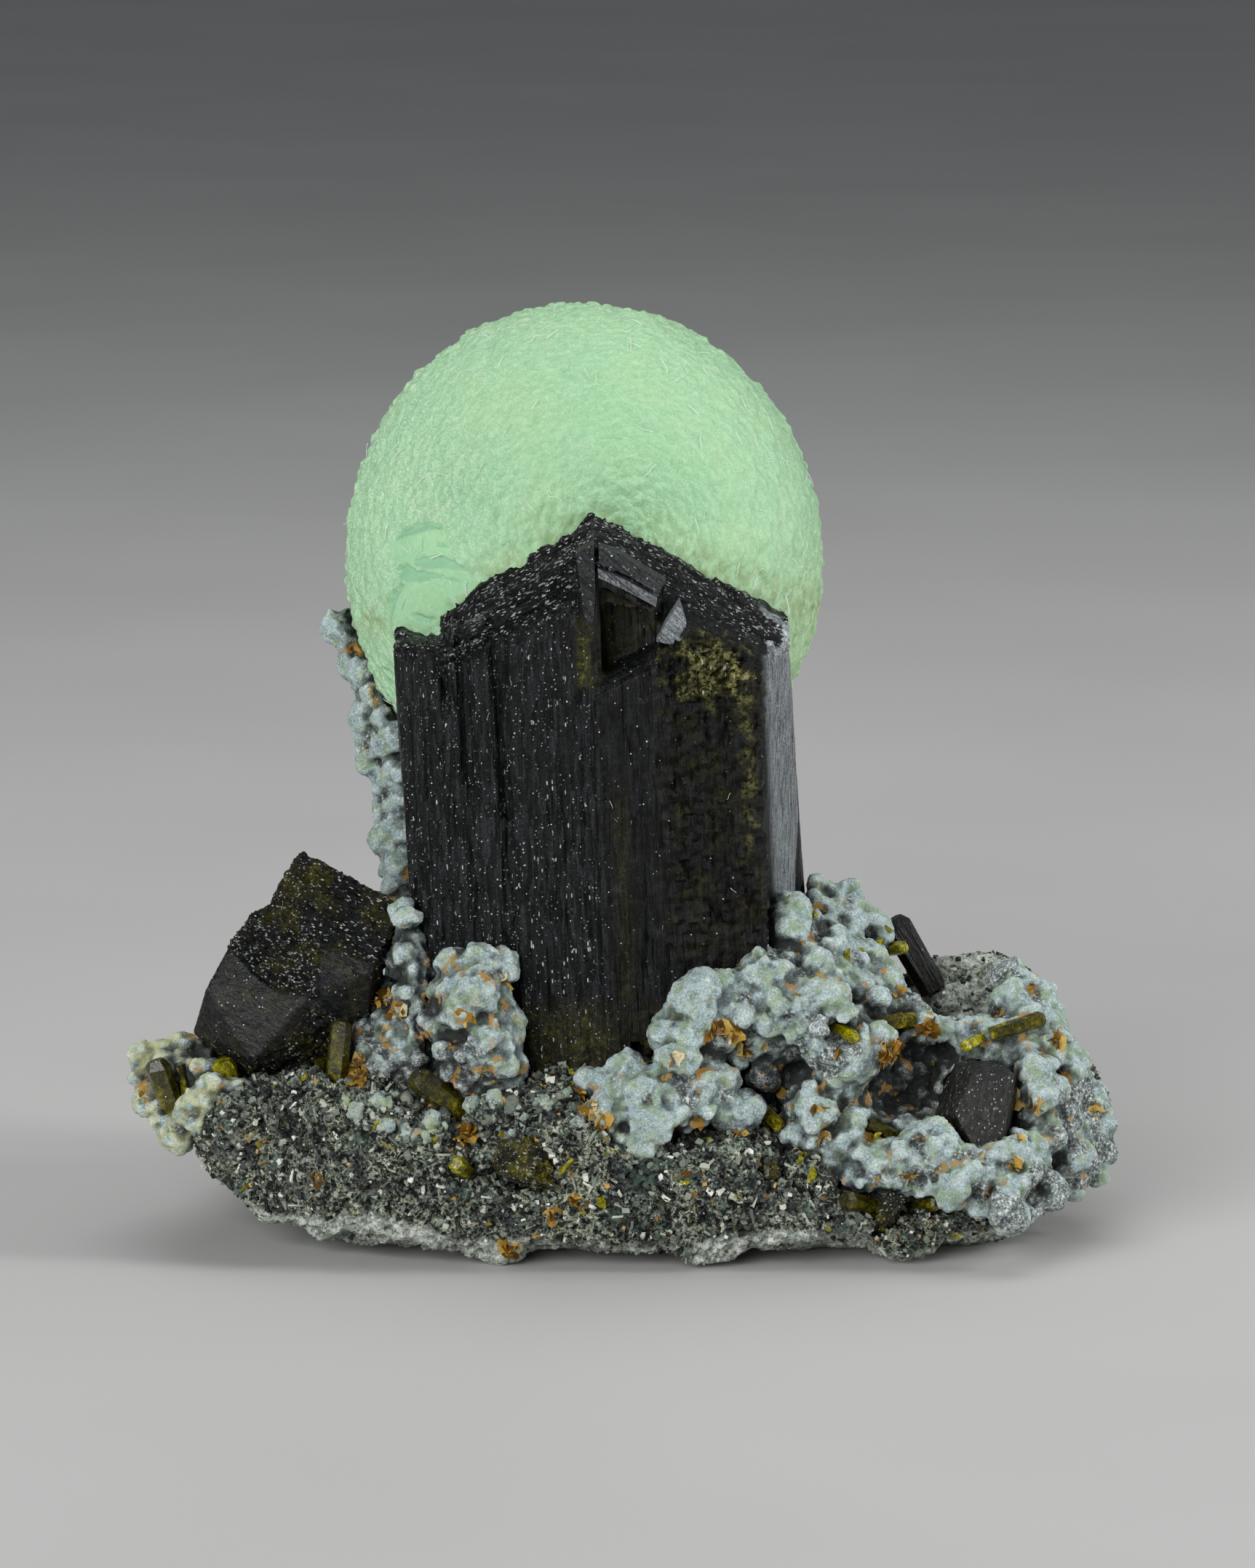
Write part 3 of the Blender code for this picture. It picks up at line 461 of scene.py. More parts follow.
    # painted glints: bright dashes along the crystal, in clusters, where the rough value allows
    glints = put(tree, "ShaderNodeTexVoronoi", {
        "Vector": vector(tree, "MULTIPLY", way, (9.0, 9.0, dash)), "Scale": 1.0})
    chosen = put(tree, "ShaderNodeSeparateColor", {0: glints.outputs["Color"]}).outputs
    near = calc(tree, "LESS_THAN", glints.outputs["Distance"], 0.4)
    clusters = ramp(tree, speckle(tree, where, 0.8, 3.0, 0.6), [(0.42, 0.15), (0.5, 0.65), (0.57, 1.0)])
    some = calc(tree, "MULTIPLY", calc(tree, "MULTIPLY_ADD", rough, 1.5, -0.5), clusters)
    share = calc(tree, "GREATER_THAN", some, chosen[0])
    glint = calc(tree, "MULTIPLY", calc(tree, "MULTIPLY", near, share), calc(tree, "POWER", chosen[1], 1.3))
    colour = mixed(tree, calc(tree, "MULTIPLY", glint, 0.9), colour, srgb(206, 210, 206))
    level = ramp(tree, lines[0], [(0.3, gloss[0]), (0.7, gloss[1])])
    wear(tree, shader, Base_Color=colour, Roughness=level, Normal=bump)
    return material


def crust_skin():
    """Pale blue-grey velvet of tiny blades, greener on the crests, with white fuzz and a painted highlight on the
    crests and painted shade in the hollows.
    """
    material, tree, shader, where = new_material(
        "prehnite_crust", Subsurface_Weight=0.1, Subsurface_Scale=0.0005, IOR=1.5, Roughness=0.7,
        Specular_IOR_Level=0.35)
    shader.inputs["Subsurface Radius"].default_value = (0.9, 1.1, 1.0)
    hollow = kept(tree, "hollow").outputs["Fac"]
    base = ramp(tree, speckle(tree, where, 0.9, 4.0, 0.7), [
        (0.34, srgb(88, 106, 110)), (0.44, srgb(134, 158, 164)), (0.56, srgb(160, 184, 190)),
        (0.68, srgb(182, 198, 196))])
    fine = ramp(tree, speckle(tree, where, 0.15, 4.0, 0.8), [
        (0.38, srgb(66, 80, 80)), (0.5, srgb(146, 168, 172)), (0.6, srgb(236, 244, 246))])
    colour = mixed(tree, 0.42, base, fine)
    green = ramp(tree, speckle(tree, where, 1.1, 3.0, 0.6), [(0.50, 0.0), (0.58, 1.0)])
    colour = mixed(tree, calc(tree, "MULTIPLY", green, 0.6), colour, srgb(116, 142, 92))
    warm = calc(tree, "MULTIPLY", kept(tree, "warm").outputs["Fac"],
                ramp(tree, speckle(tree, where, 0.8, 3.0, 0.6), [(0.38, 0.0), (0.56, 1.0)]))
    colour = mixed(tree, warm, colour, srgb(188, 190, 138))
    # greyer and darker: worn places, and the broad hollows as painted shade
    grey = ramp(tree, speckle(tree, where, 0.24, 4.0, 0.8), [
        (0.38, srgb(22, 25, 26)), (0.47, srgb(72, 80, 80)), (0.54, srgb(128, 138, 136)), (0.62, srgb(230, 236, 232))])
    grey_wear_and_shade = ramp(tree, kept(tree, "low").outputs["Fac"], [(0.3, 0.0), (0.55, 0.9)])
    colour = mixed(tree, grey_wear_and_shade, colour, grey)
    # painted shade in the hollows, under the other pieces and in the caves
    deep = ramp(tree, hollow, [(0.34, 0.0), (0.54, 0.55), (0.82, 1.0)])
    colour = mixed(tree, calc(tree, "MULTIPLY", deep, 0.95), colour, srgb(24, 27, 26))
    stain = ramp(tree, speckle(tree, where, 1.3, 4.0, 0.6), [(0.60, 0.0), (0.64, 1.0)])
    stain = calc(tree, "MULTIPLY", stain, ramp(tree, hollow, [(0.26, 0.0), (0.42, 1.0)]))
    colour = mixed(tree, calc(tree, "MULTIPLY", stain, 0.85), colour, srgb(176, 132, 56))
    # the crests whitened: white fuzz of the crust and a painted highlight
    rim = calc(tree, "MULTIPLY", kept(tree, "crest").outputs["Fac"],
               ramp(tree, speckle(tree, where, 0.11, 3.0, 0.8), [(0.44, 0.0), (0.56, 1.0)]))
    colour = mixed(tree, calc(tree, "MULTIPLY", rim, 0.7), colour, srgb(232, 240, 240))
    bump = raised(tree, speckle(tree, where, 0.14, 3.0, 0.7), 0.10, 1.0)
    bump = raised(tree, speckle(tree, where, 0.45, 2.0), 0.14, 0.6, bump)
    wear(tree, shader, Base_Color=colour, Normal=bump)
    return material


def rock_skin():
    """Fine-grained, pitted rock: dark and pale green-grey grains with rusty and yellow-green spots."""
    material, tree, shader, where = new_material(
        "host_rock", IOR=1.5, Roughness=0.8, Specular_IOR_Level=0.3)
    wave = calc(tree, "ABSOLUTE", calc(tree, "SUBTRACT", speckle(tree, where, 0.5, 3.0, 0.6), 0.5))
    sponge = calc(tree, "SUBTRACT", speckle(tree, where, 0.22, 5.0, 0.8), calc(tree, "MULTIPLY", wave, 1.3))
    colour = ramp(tree, sponge, [
        (0.26, srgb(10, 11, 11)), (0.34, srgb(38, 42, 40)), (0.41, srgb(102, 110, 100)),
        (0.48, srgb(182, 188, 170)), (0.58, srgb(240, 242, 228))])
    field = ramp(tree, speckle(tree, where, 2.2, 3.0, 0.6), [
        (0.36, srgb(110, 114, 122)), (0.5, srgb(212, 214, 212)), (0.6, srgb(255, 255, 244))])
    colour = mixed(tree, 1.0, colour, field, "MULTIPLY")
    teal = ramp(tree, speckle(tree, where, 1.9, 3.0, 0.6), [(0.56, 0.0), (0.66, 1.0)])
    colour = mixed(tree, calc(tree, "MULTIPLY", teal, 0.45), colour, srgb(104, 132, 120))
    moss = ramp(tree, speckle(tree, where, 0.9, 4.0, 0.7), [(0.60, 0.0), (0.66, 1.0)])
    colour = mixed(tree, calc(tree, "MULTIPLY", moss, 0.6), colour, srgb(104, 102, 40))
    rust = ramp(tree, speckle(tree, where, 1.2, 4.0, 0.7), [(0.64, 0.0), (0.67, 1.0)])
    colour = mixed(tree, calc(tree, "MULTIPLY", rust, 0.85), colour, srgb(190, 142, 66))
    # painted shade in the hollows and under the other pieces
    hollow = ramp(tree, kept(tree, "hollow").outputs["Fac"], [(0.42, 0.0), (0.8, 1.0)])
    colour = mixed(tree, calc(tree, "MULTIPLY", hollow, 0.75), colour, srgb(13, 15, 12))
    rim = kept(tree, "rim").outputs["Fac"]
    chalk = ramp(tree, speckle(tree, where, 0.3, 4.0, 0.75), [
        (0.36, srgb(92, 100, 90)), (0.48, srgb(196, 206, 192)), (0.6, srgb(250, 252, 246))])
    colour = mixed(tree, rim, colour, chalk)
    bump = raised(tree, sponge, 0.30, 0.9)
    bump = raised(tree, speckle(tree, where, 0.7, 3.0), 0.25, 0.6, bump)
    wear(tree, shader, Base_Color=colour, Normal=bump)
    return material


def grain_skin(name, stops, roughness, **values):
    """One colour for each grain, picked by the number that the scatter tree gives it."""
    material, tree, shader, where = new_material(name, Roughness=roughness, **values)
    colour = ramp(tree, kept(tree, "tone").outputs["Fac"], stops, "CONSTANT")
    shade = ramp(tree, speckle(tree, where, 0.15, 3.0), [(0.3, 0.7), (0.7, 1.0)])
    colour = mixed(tree, 0.6, colour, mixed(tree, 1.0, colour, shade, "MULTIPLY"))
    bump = raised(tree, speckle(tree, where, 0.1, 3.0), 0.04, 0.6)
    wear(tree, shader, Base_Color=colour, Normal=bump)
    return material


# Scattering, by geometry nodes.

def scatter_tree():
    """A tree that strews pieces of a collection over a surface, each with a number of its own."""
    tree = bpy.data.node_groups.new("Strew", "GeometryNodeTree")
    sockets = (
        ("Ground", "NodeSocketGeometry", None), ("Pieces", "NodeSocketCollection", None),
        ("Finish", "NodeSocketMaterial", None), ("Per Square Metre", "NodeSocketFloat", 1e6),
        ("Spacing", "NodeSocketFloat", 0.0), ("Smallest", "NodeSocketFloat", 0.5),
        ("Largest", "NodeSocketFloat", 1.0), ("Sunk", "NodeSocketFloat", 0.0),
        ("Tumble", "NodeSocketFloat", 3.1416), ("Seed", "NodeSocketInt", 1),
    )
    for label, kind, value in sockets:
        made = tree.interface.new_socket(label, in_out="INPUT", socket_type=kind)
        if value is not None:
            made.default_value = value
    tree.interface.new_socket("Geometry", in_out="OUTPUT", socket_type="NodeSocketGeometry")
    given = put(tree, "NodeGroupInput").outputs
    allowed = put(tree, "GeometryNodeInputNamedAttribute", {"Name": "bare"}, data_type="FLOAT").outputs[0]
    strewn = put(tree, "GeometryNodeDistributePointsOnFaces", {
        "Mesh": given["Ground"], "Distance Min": given["Spacing"], "Density Max": given["Per Square Metre"],
        "Density Factor": allowed, "Seed": given["Seed"]}, distribute_method="POISSON")
    sink = put(tree, "ShaderNodeVectorMath",
               {0: strewn.outputs["Normal"], "Scale": given["Sunk"]}, operation="SCALE").outputs[0]
    sunk = put(tree, "GeometryNodeSetPosition", {
        "Geometry": strewn.outputs["Points"],
        "Offset": put(tree, "ShaderNodeVectorMath", {0: sink, "Scale": -1.0}, operation="SCALE").outputs[0]})

    def any_of(kind, low, high, salt):
        """A random value for each point."""
        made = put(tree, "FunctionNodeRandomValue", {"Seed": salt}, data_type=kind)
        slots = {"FLOAT_VECTOR": (0, 1), "FLOAT": (2, 3), "INT": (4, 5)}[kind]
        for slot, value in zip(slots, (low, high)):
            if isinstance(value, bpy.types.NodeSocket):
                tree.links.new(value, made.inputs[slot])
            else:
                made.inputs[slot].default_value = value
        return made.outputs[{"FLOAT_VECTOR": 0, "FLOAT": 1, "INT": 2}[kind]]

    turn = put(tree, "ShaderNodeCombineXYZ", {
        0: any_of("FLOAT", calc(tree, "MULTIPLY", given["Tumble"], -1.0), given["Tumble"], 11),
        1: any_of("FLOAT", calc(tree, "MULTIPLY", given["Tumble"], -1.0), given["Tumble"], 12),
        2: any_of("FLOAT", -math.pi, math.pi, 13)}).outputs[0]
    turned = put(tree, "FunctionNodeRotateRotation", {
        "Rotation": strewn.outputs["Rotation"],
        "Rotate By": put(tree, "FunctionNodeEulerToRotation", {0: turn}).outputs[0]}, rotation_space="LOCAL")
    spread = any_of("FLOAT", 0.0, 1.0, 14)
    size = put(tree, "ShaderNodeMapRange", {
        0: calc(tree, "POWER", spread, 1.8), 3: given["Smallest"], 4: given["Largest"]}).outputs[0]
    pieces = put(tree, "GeometryNodeCollectionInfo", {
        "Collection": given["Pieces"], "Separate Children": True, "Reset Children": True})
    set_down = put(tree, "GeometryNodeInstanceOnPoints", {
        "Points": sunk.outputs[0], "Instance": pieces.outputs[0], "Pick Instance": True,
        "Instance Index": any_of("INT", 0, 99, 15), "Rotation": turned.outputs[0], "Scale": size})
    toned = put(tree, "GeometryNodeStoreNamedAttribute", {
        "Geometry": set_down.outputs[0], "Name": "tone", "Value": any_of("FLOAT", 0.0, 1.0, 16)},
        data_type="FLOAT", domain="INSTANCE")
    real = put(tree, "GeometryNodeRealizeInstances", {0: toned.outputs[0]})
    dressed = put(tree, "GeometryNodeSetMaterial", {0: real.outputs[0], "Material": given["Finish"]})
    put(tree, "NodeGroupOutput", {0: dressed.outputs[0]})
    return tree


STREW = scatter_tree()


def strew(name, ground, pieces, finish_with=None, **sizes):
    """Strews pieces over the ground's faces where its value "bare" allows, as a plain mesh.

    sizes are per_mm2, spacing, smallest, largest, sunk (lengths in millimetres), tumble and seed.
    """
    obj = add_piece(name, ground.data.copy())
    step = obj.modifiers.new("Strew", "NODES")
    step.node_group = STREW
    ids = {s.name: s.identifier for s in STREW.interface.items_tree if s.in_out == "INPUT"}
    step[ids["Pieces"]] = pieces
    step[ids["Finish"]] = finish_with
    step[ids["Per Square Metre"]] = sizes["per_mm2"] * 1e6
    step[ids["Spacing"]] = sizes.get("spacing", 0.0) * MM
    step[ids["Smallest"]] = float(sizes["smallest"])
    step[ids["Largest"]] = float(sizes["largest"])
    step[ids["Sunk"]] = sizes.get("sunk", 0.0) * MM
    step[ids["Tumble"]] = float(sizes.get("tumble", math.pi))
    step[ids["Seed"]] = sizes.get("seed", 1)
    bake(obj)
    return obj


def stock(name, meshes):
    """A collection of shapes a millimetre in size, for strewing."""
    held = bpy.data.collections.new(name)
    for i, mesh in enumerate(meshes):
        held.objects.link(bpy.data.objects.new(f"{name}_{i}", mesh))
    return held


def bud_shapes():
    """Round buds."""
    made = []
    for stretch in ((1, 1, 1), (1.15, 0.9, 0.9)):
        bm = bmesh.new()
        bmesh.ops.create_icosphere(bm, subdivisions=2, radius=MM, matrix=Matrix.Diagonal((*stretch, 1)))
        made.append(mesh_of(bm, "bud"))
    return made


def grain_shapes():
    """Needles, chips and blocks, a few faces each."""
    made = []
    chance = random.Random(5)
    for long, wide, thick in ((0.9, 0.5, 0.4), (0.7, 0.6, 0.5), (0.6, 0.6, 0.5), (1.1, 0.4, 0.3),
                              (0.8, 0.7, 0.3), (1.5, 0.28, 0.24)):
        bm = bmesh.new()
        bmesh.ops.create_cube(bm, size=1.0)
        bmesh.ops.bevel(bm, geom=[e for e in bm.edges if chance.random() < 0.35], offset=0.2,
                        segments=1, affect="EDGES")
        for v in bm.verts:
            v.co = Vector((v.co.x * wide, v.co.y * thick, v.co.z * long))
            v.co += Vector([chance.uniform(-0.08, 0.08) for _ in range(3)])
            v.co *= MM
        made.append(mesh_of(bm, "grain"))
    return made


def flake_shapes():
    """Curled, ragged flakes."""
    made = []
    chance = random.Random(9)
    for curl in (0.5, 0.9, -0.6, 1.2):
        bm = bmesh.new()
        count = 9
        top = []
        for i in range(count):
            angle = 2 * math.pi * i / count
            reach = chance.uniform(0.55, 1.1)
            x, y = reach * math.cos(angle), 0.7 * reach * math.sin(angle)
            top.append(bm.verts.new(Vector((x, y, curl * 0.5 * x * x)) * MM))
        middle = bm.verts.new((0, 0, 0.0))
        faces = [bm.faces.new((middle, top[i - 1], top[i])) for i in range(count)]
        bmesh.ops.solidify(bm, geom=faces, thickness=0.07 * MM)
        bmesh.ops.recalc_face_normals(bm, faces=bm.faces)
        made.append(mesh_of(bm, "flake"))
    return made


def tiny_prisms():
    """Short six-sided crystals with a slanting end."""
    made = []
    for wide, thick, slant in ((0.3, 0.2, 0.2), (0.22, 0.22, -0.15), (0.4, 0.24, 0.3)):
        bm = bmesh.new()
        rings = [[bm.verts.new(Vector((wide * math.cos(a), thick * math.sin(a), z + slant * math.cos(a) * (z > 0)))
                               * MM) for a in np.linspace(0, 2 * math.pi, 7)[:-1]] for z in (-0.7, 0.7)]
        bm.faces.new(rings[1])
        bm.faces.new(reversed(rings[0]))
        for i in range(6):
            bm.faces.new((rings[0][i - 1], rings[0][i], rings[1][i], rings[1][i - 1]))
        bmesh.ops.recalc_face_normals(bm, faces=bm.faces)
        made.append(mesh_of(bm, "tiny_prism"))
    return made


def fibre_shapes():
    """Bent lint fibres of three-sided thread."""
    made = []
    for bend, hook in ((0.6, 0.0), (1.4, 0.3), (2.4, -0.4), (0.2, 0.1)):
        bm = bmesh.new()
        rings = []
        for i in range(9):
            t = i / 8 - 0.5
            middle = Vector((t * 2, math.sin(bend * t * 2) * 0.35, 0.22 - 0.6 * t * t + hook * t * t * t))
            ring = [bm.verts.new((middle + 0.04 * Vector((0, math.cos(a), math.sin(a)))) * MM)
                    for a in (0, 2.094, 4.189)]
            rings.append(ring)
        for near, far in zip(rings, rings[1:]):
            for i in range(3):
                bm.faces.new((near[i - 1], far[i - 1], far[i], near[i]))
        bm.faces.new(rings[0])
        bm.faces.new(reversed(rings[-1]))
        bmesh.ops.recalc_face_normals(bm, faces=bm.faces)
        made.append(mesh_of(bm, "fibre"))
    return made


# The ball.

BALL_FACETS = [
    # each flat as an outline on the front view, clockwise from its left end: upper edge, lower edge
    ([(502, 692), (503, 681), (523, 673), (534, 667), (548, 665), (566, 673)],
     [(543, 677), (528, 682), (517, 684)]),
    ([(524, 718), (532, 712), (561, 709), (581, 718), (599, 728)], [(570, 726), (546, 727), (532, 724)]),
    ([(504, 731), (509, 723), (519, 720), (525, 727), (546, 731), (584, 741)],
     [(555, 738), (534, 744), (517, 742), (508, 738)]),
    ([(552, 694), (560, 692), (572, 699)], [(560, 698)]),
    ([(494, 778), (498, 758), (506, 748), (514, 744)], [(509, 756), (503, 772), (498, 790)]),
    ([(520, 786), (532, 784), (546, 790), (556, 790)], [(546, 796), (530, 792)]),
]
SMOOTH_PLACES = [(536, 700, 40, 26), (560, 742, 44, 20), (532, 772, 38, 32)]


def ball_points():
    """Unit directions on a cube's six faces, drawn together on the side that is seen most."""
    steps = np.tan(np.linspace(-math.pi / 4, math.pi / 4, BALL_GRID + 1))
    u, v = np.meshgrid(steps, steps, indexing="ij")
    one = np.ones_like(u)
    sides = [np.stack(s, -1) for s in ((one, u, v), (-one, v, u), (v, one, u), (u, -one, v),
                                       (u, v, one), (v, u, -one))]
    grid = np.arange((BALL_GRID + 1) ** 2).reshape(BALL_GRID + 1, -1)
    squares = np.stack([grid[:-1, :-1], grid[1:, :-1], grid[1:, 1:], grid[:-1, 1:]], -1).reshape(-1, 4)
    points = np.concatenate([s.reshape(-1, 3) for s in sides])
    faces = np.concatenate([squares + i * grid.size for i in range(6)])
    points /= np.linalg.norm(points, axis=1)[:, None]
    points += BALL_DENSITY_PULL * np.array(BALL_DENSE_SIDE.normalized())
    return points / np.linalg.norm(points, axis=1)[:, None], faces


def on_ball(directions):
    """The ball's plain surface in these directions, and its normals."""
    turn = np.array(Matrix.Rotation(BALL_TILT, 3, "Y"))
    radii = np.array(BALL_RADII)
    out = directions / radii
    out /= np.linalg.norm(out, axis=1)[:, None]
    return (directions * radii) @ turn.T + np.array(BALL_CENTRE), out @ turn.T


def scale_relief(points, out):
    """How far each point stands in its scale: each one rises away from the growth place."""
    number = np.arange(SCALE_COUNT)
    golden = math.pi * (3 - math.sqrt(5))
    z = 1 - 2 * (number + 0.5) / SCALE_COUNT
    ring = np.sqrt(1 - z * z)
    seeds = np.stack([ring * np.cos(golden * number), ring * np.sin(golden * number), z], -1)
    chance = np.random.default_rng(4)
    seeds += chance.normal(0, 0.016, seeds.shape)
    seeds, _ = on_ball(seeds / np.linalg.norm(seeds, axis=1)[:, None])
    search = kdtree.KDTree(SCALE_COUNT)
    for i, seed in enumerate(seeds):
        search.insert(seed, i)
    search.balance()
    near = np.array([[hit[1] for hit in search.find_n(p, 4)] for p in points])
    flow = points - np.array(GROWTH_PLACE)
    flow -= np.einsum("ij,ij->i", flow, out)[:, None] * out
    flow /= np.linalg.norm(flow, axis=1)[:, None] + 1e-9
    gap = points[:, None] - seeds[near]
    along = np.einsum("ijk,ik->ij", gap, flow)
    across = np.sqrt(np.maximum(0, (gap ** 2).sum(-1) - along ** 2))
    best = np.argmin((along * 1.35) ** 2 + across ** 2, axis=1)
    rows = np.arange(len(points))
    along, across = along[rows, best], across[rows, best]
    lift = chance.uniform(0.5, 1.2, SCALE_COUNT)[near[rows, best]]
    return np.clip(0.5 + along / 0.8, 0, 1) ** 1.3 * lift - 0.9 * across ** 2


def within(across, down, corners):
    """True for the places inside an outline on the front view."""
    hit = np.zeros(len(across), bool)
    for (ax, ay), (bx, by) in zip(corners, corners[1:] + corners[:1]):
        if ay != by:
            crossed = ((ay > down) != (by > down)) & (across < (bx - ax) * (down - ay) / (by - ay) + ax)
            hit ^= crossed
    return hit


def make_ball():
    directions, faces = ball_points()
    points, out = on_ball(directions)
    mesh = bpy.data.meshes.new("prehnite_ball_skin")
    mesh.from_pydata(points * MM, [], faces.tolist())
    bm = bmesh.new()
    bm.from_mesh(mesh)
    bmesh.ops.remove_doubles(bm, verts=bm.verts, dist=1e-7)
    bmesh.ops.recalc_face_normals(bm, faces=bm.faces)
    bm.to_mesh(mesh)
    bm.free()
    obj = add_piece("prehnite_ball_skin", mesh)
    points, out = places(mesh), normals(mesh)
    across, down = view_places(points)
    front = points[:, 1] < BALL_CENTRE.y
    smooth, facet, dip = np.zeros((3, len(points)))
    for x, y, half_width, half_height in SMOOTH_PLACES:
        reach = np.hypot((across - x) / half_width, (down - y) / half_height)
        smooth = np.maximum(smooth, np.clip((1.15 - reach) * 4, 0, 1) * front)
    for upper, lower in BALL_FACETS:
        flat = within(across, down, upper + lower) & front
        top = np.interp(across, *np.array(sorted(upper)).T)
        bottom = np.interp(across, *np.array(sorted(lower + [upper[0], upper[-1]])).T)
        facet[flat] = 1
        dip[flat] = np.clip((bottom - down) / np.maximum(bottom - top, 2), 0, 1)[flat]
    distance = np.linalg.norm(points - np.array(GROWTH_PLACE), axis=1)
    turned = 1 - np.abs(out[:, 1])
    strength = 0.2 + 1.0 * np.exp(-((distance / 5.0) ** 2)) + 0.45 * turned + 0.5 * turned ** 4
    strength += 0.35 * np.clip((45 - points[:, 2]) / 12, 0, 1)
    strength += 0.5 * np.exp(-(((across - 560) / 90) ** 2) - ((down - 620) / 80) ** 2)
    relief = scale_relief(points, out) * strength * (1 - 0.92 * np.maximum(smooth, facet))
    swell = bumps(points, 3.0) * 0.18 + bumps(points, 1.0, 2, 7.0) * (0.12 + 0.16 * turned ** 2)
    height = SCALE_HEIGHT * (relief - 0.4) + swell * (1 - 0.7 * smooth) - 0.30 * dip
    place(mesh, points + out * height[:, None])
    store(mesh, "smooth", np.clip(np.maximum(1.0 - 0.8 * strength, np.maximum(smooth, facet)), 0, 1))
    store(mesh, "facet", facet)
    # painted glints: the share of fine white specks, more on the left and where the ball turns sideways, less on
    # facets and smooth places
    left = np.clip((-6.0 - points[:, 0]) / 8, 0, 1)
    store(mesh, "frost", (0.2 + 0.26 * left + 0.14 * turned) * (1 - 0.8 * np.maximum(facet, smooth)))
    store(mesh, "low", np.clip((46 - points[:, 2]) / 14, 0, 1) * (0.5 + 0.5 * np.clip(points[:, 0] / 8, -1, 1)))
    edge_height = 46.0 - 0.5 * np.abs(points[:, 0] + 1.4)
    shade = np.clip(1 - np.abs(points[:, 2] - edge_height) / 1.9, 0, 1) * front
    store(mesh, "shade", shade * np.clip(0.6 + 2 * bumps(points, 0.8, 3, 3.0), 0, 1) * (1 - smooth))
    mesh.shade_smooth()
    finish(obj, prehnite_skin(), "prehnite", "prehnite_ball")
    return obj


# The main crystal: crystals side by side, as outlines in the x-z plane with a front depth.

BUNDLE = [
    ([(-9.5, 0), (12.9, 0), (12.15, 30.8), (0.2, 38.8), (-7.1, 34.1), (-9.55, 32.2)], -7.2),
    ([(-9.4, 0), (12.85, 0), (12.1, 30.5), (0.25, 38.45), (-7.2, 33.7), (-9.4, 31.9)], -7.7),
    ([(-9.3, 0), (12.8, 0), (12.0, 30.2), (0.3, 38.05), (-7.3, 33.3), (-9.3, 31.6)], -8.2),
    ([(-9.2, 0), (12.7, 0), (11.85, 29.9), (0.32, 37.7), (-7.3, 33.0), (-9.2, 31.4)], -8.7),
    ([(-9.1, 0), (12.6, 0), (11.7, 29.6), (4.6, 34.4), (4.4, 31.0), (0.4, 28.4), (0.3, 37.4), (-7.3, 32.8),
      (-9.1, 31.1)], -9.2),
    ([(-9.1, 0), (0.3, 0), (0.3, 36.8), (-7.0, 32.6), (-8.9, 30.9)], -9.55),
    ([(-9.1, 0), (0.3, 0), (0.3, 36.0), (-6.6, 32.4), (-8.7, 30.6)], -9.9),
    ([(4.4, 20), (12.3, 20), (11.6, 29.4), (6.0, 33.2), (4.4, 34.0)], -9.6),
    ([(4.9, 20), (12.1, 20), (11.3, 29.2), (6.3, 32.5), (5.2, 33.0)], -10.0),
    ([(-12.2, 0), (-9.0, 0), (-9.2, 30.7), (-12.6, 31.0)], -8.6),
    ([(-11.6, 0), (-8.8, 0), (-9.4, 30.0), (-10.9, 30.6), (-11.5, 29.6)], -9.6),
    ([(-10.9, 0), (-9.6, 0), (-9.8, 29.2), (-10.4, 29.9), (-11.0, 28.8)], -10.1),
    ([(-9.9, 0), (-8.45, 0), (-8.7, 32.0), (-9.2, 30.1)], -10.4),
    ([(-8.1, 0), (-6.1, 0), (-6.6, 32.7), (-7.9, 32.3)], -10.4),
    ([(-5.8, 0), (0.5, 0), (0.5, 28.6), (-1.0, 33.9), (-5.4, 31.8)], -10.4),
    ([(-7.8, 0), (-6.3, 0), (-6.7, 30.8), (-7.0, 31.8), (-7.6, 31.5)], -10.75),
    ([(-5.6, 0), (0.3, 0), (0.1, 28.4), (-1.0, 33.1), (-5.3, 31.1)], -11.0),
    ([(-5.1, 0), (-0.7, 0), (-1.1, 32.5), (-4.8, 30.7)], -11.25),
    ([(-1.0, 28.3), (0.5, 28.3), (0.6, 33.6), (4.25, 33.0), (4.3, 33.5), (0.35, 37.1), (-1.0, 36.4)], -10.3),
    ([(-0.95, 28.4), (0.45, 28.4), (0.55, 34.6), (4.1, 32.9), (4.2, 33.2), (0.4, 36.5), (-0.95, 35.8)], -10.75),
    ([(-0.9, 28.5), (0.4, 28.5), (0.5, 34.9), (3.9, 32.8), (4.0, 33.0), (0.45, 35.7), (-0.9, 35.2)], -11.2),
    ([(3.6, 0), (12.0, 0), (11.0, 30.0), (5.9, 32.6), (3.9, 32.0)], -10.2),
    ([(-0.5, 0), (11.6, 0), (10.6, 29.5), (5.7, 32.0), (5.3, 30.9), (-0.46, 28.4)], -11.6),
    ([(-0.3, 0), (11.4, 0), (10.5, 29.0), (6.2, 30.6), (5.0, 30.3), (-0.2, 28.0)], -12.0),
]
ROOF_LAYER = 0.85
SHOULDER_DEPTH = 0.45
SHOULDER_DROP = 0.4
CRYSTAL_BACK = 2.5


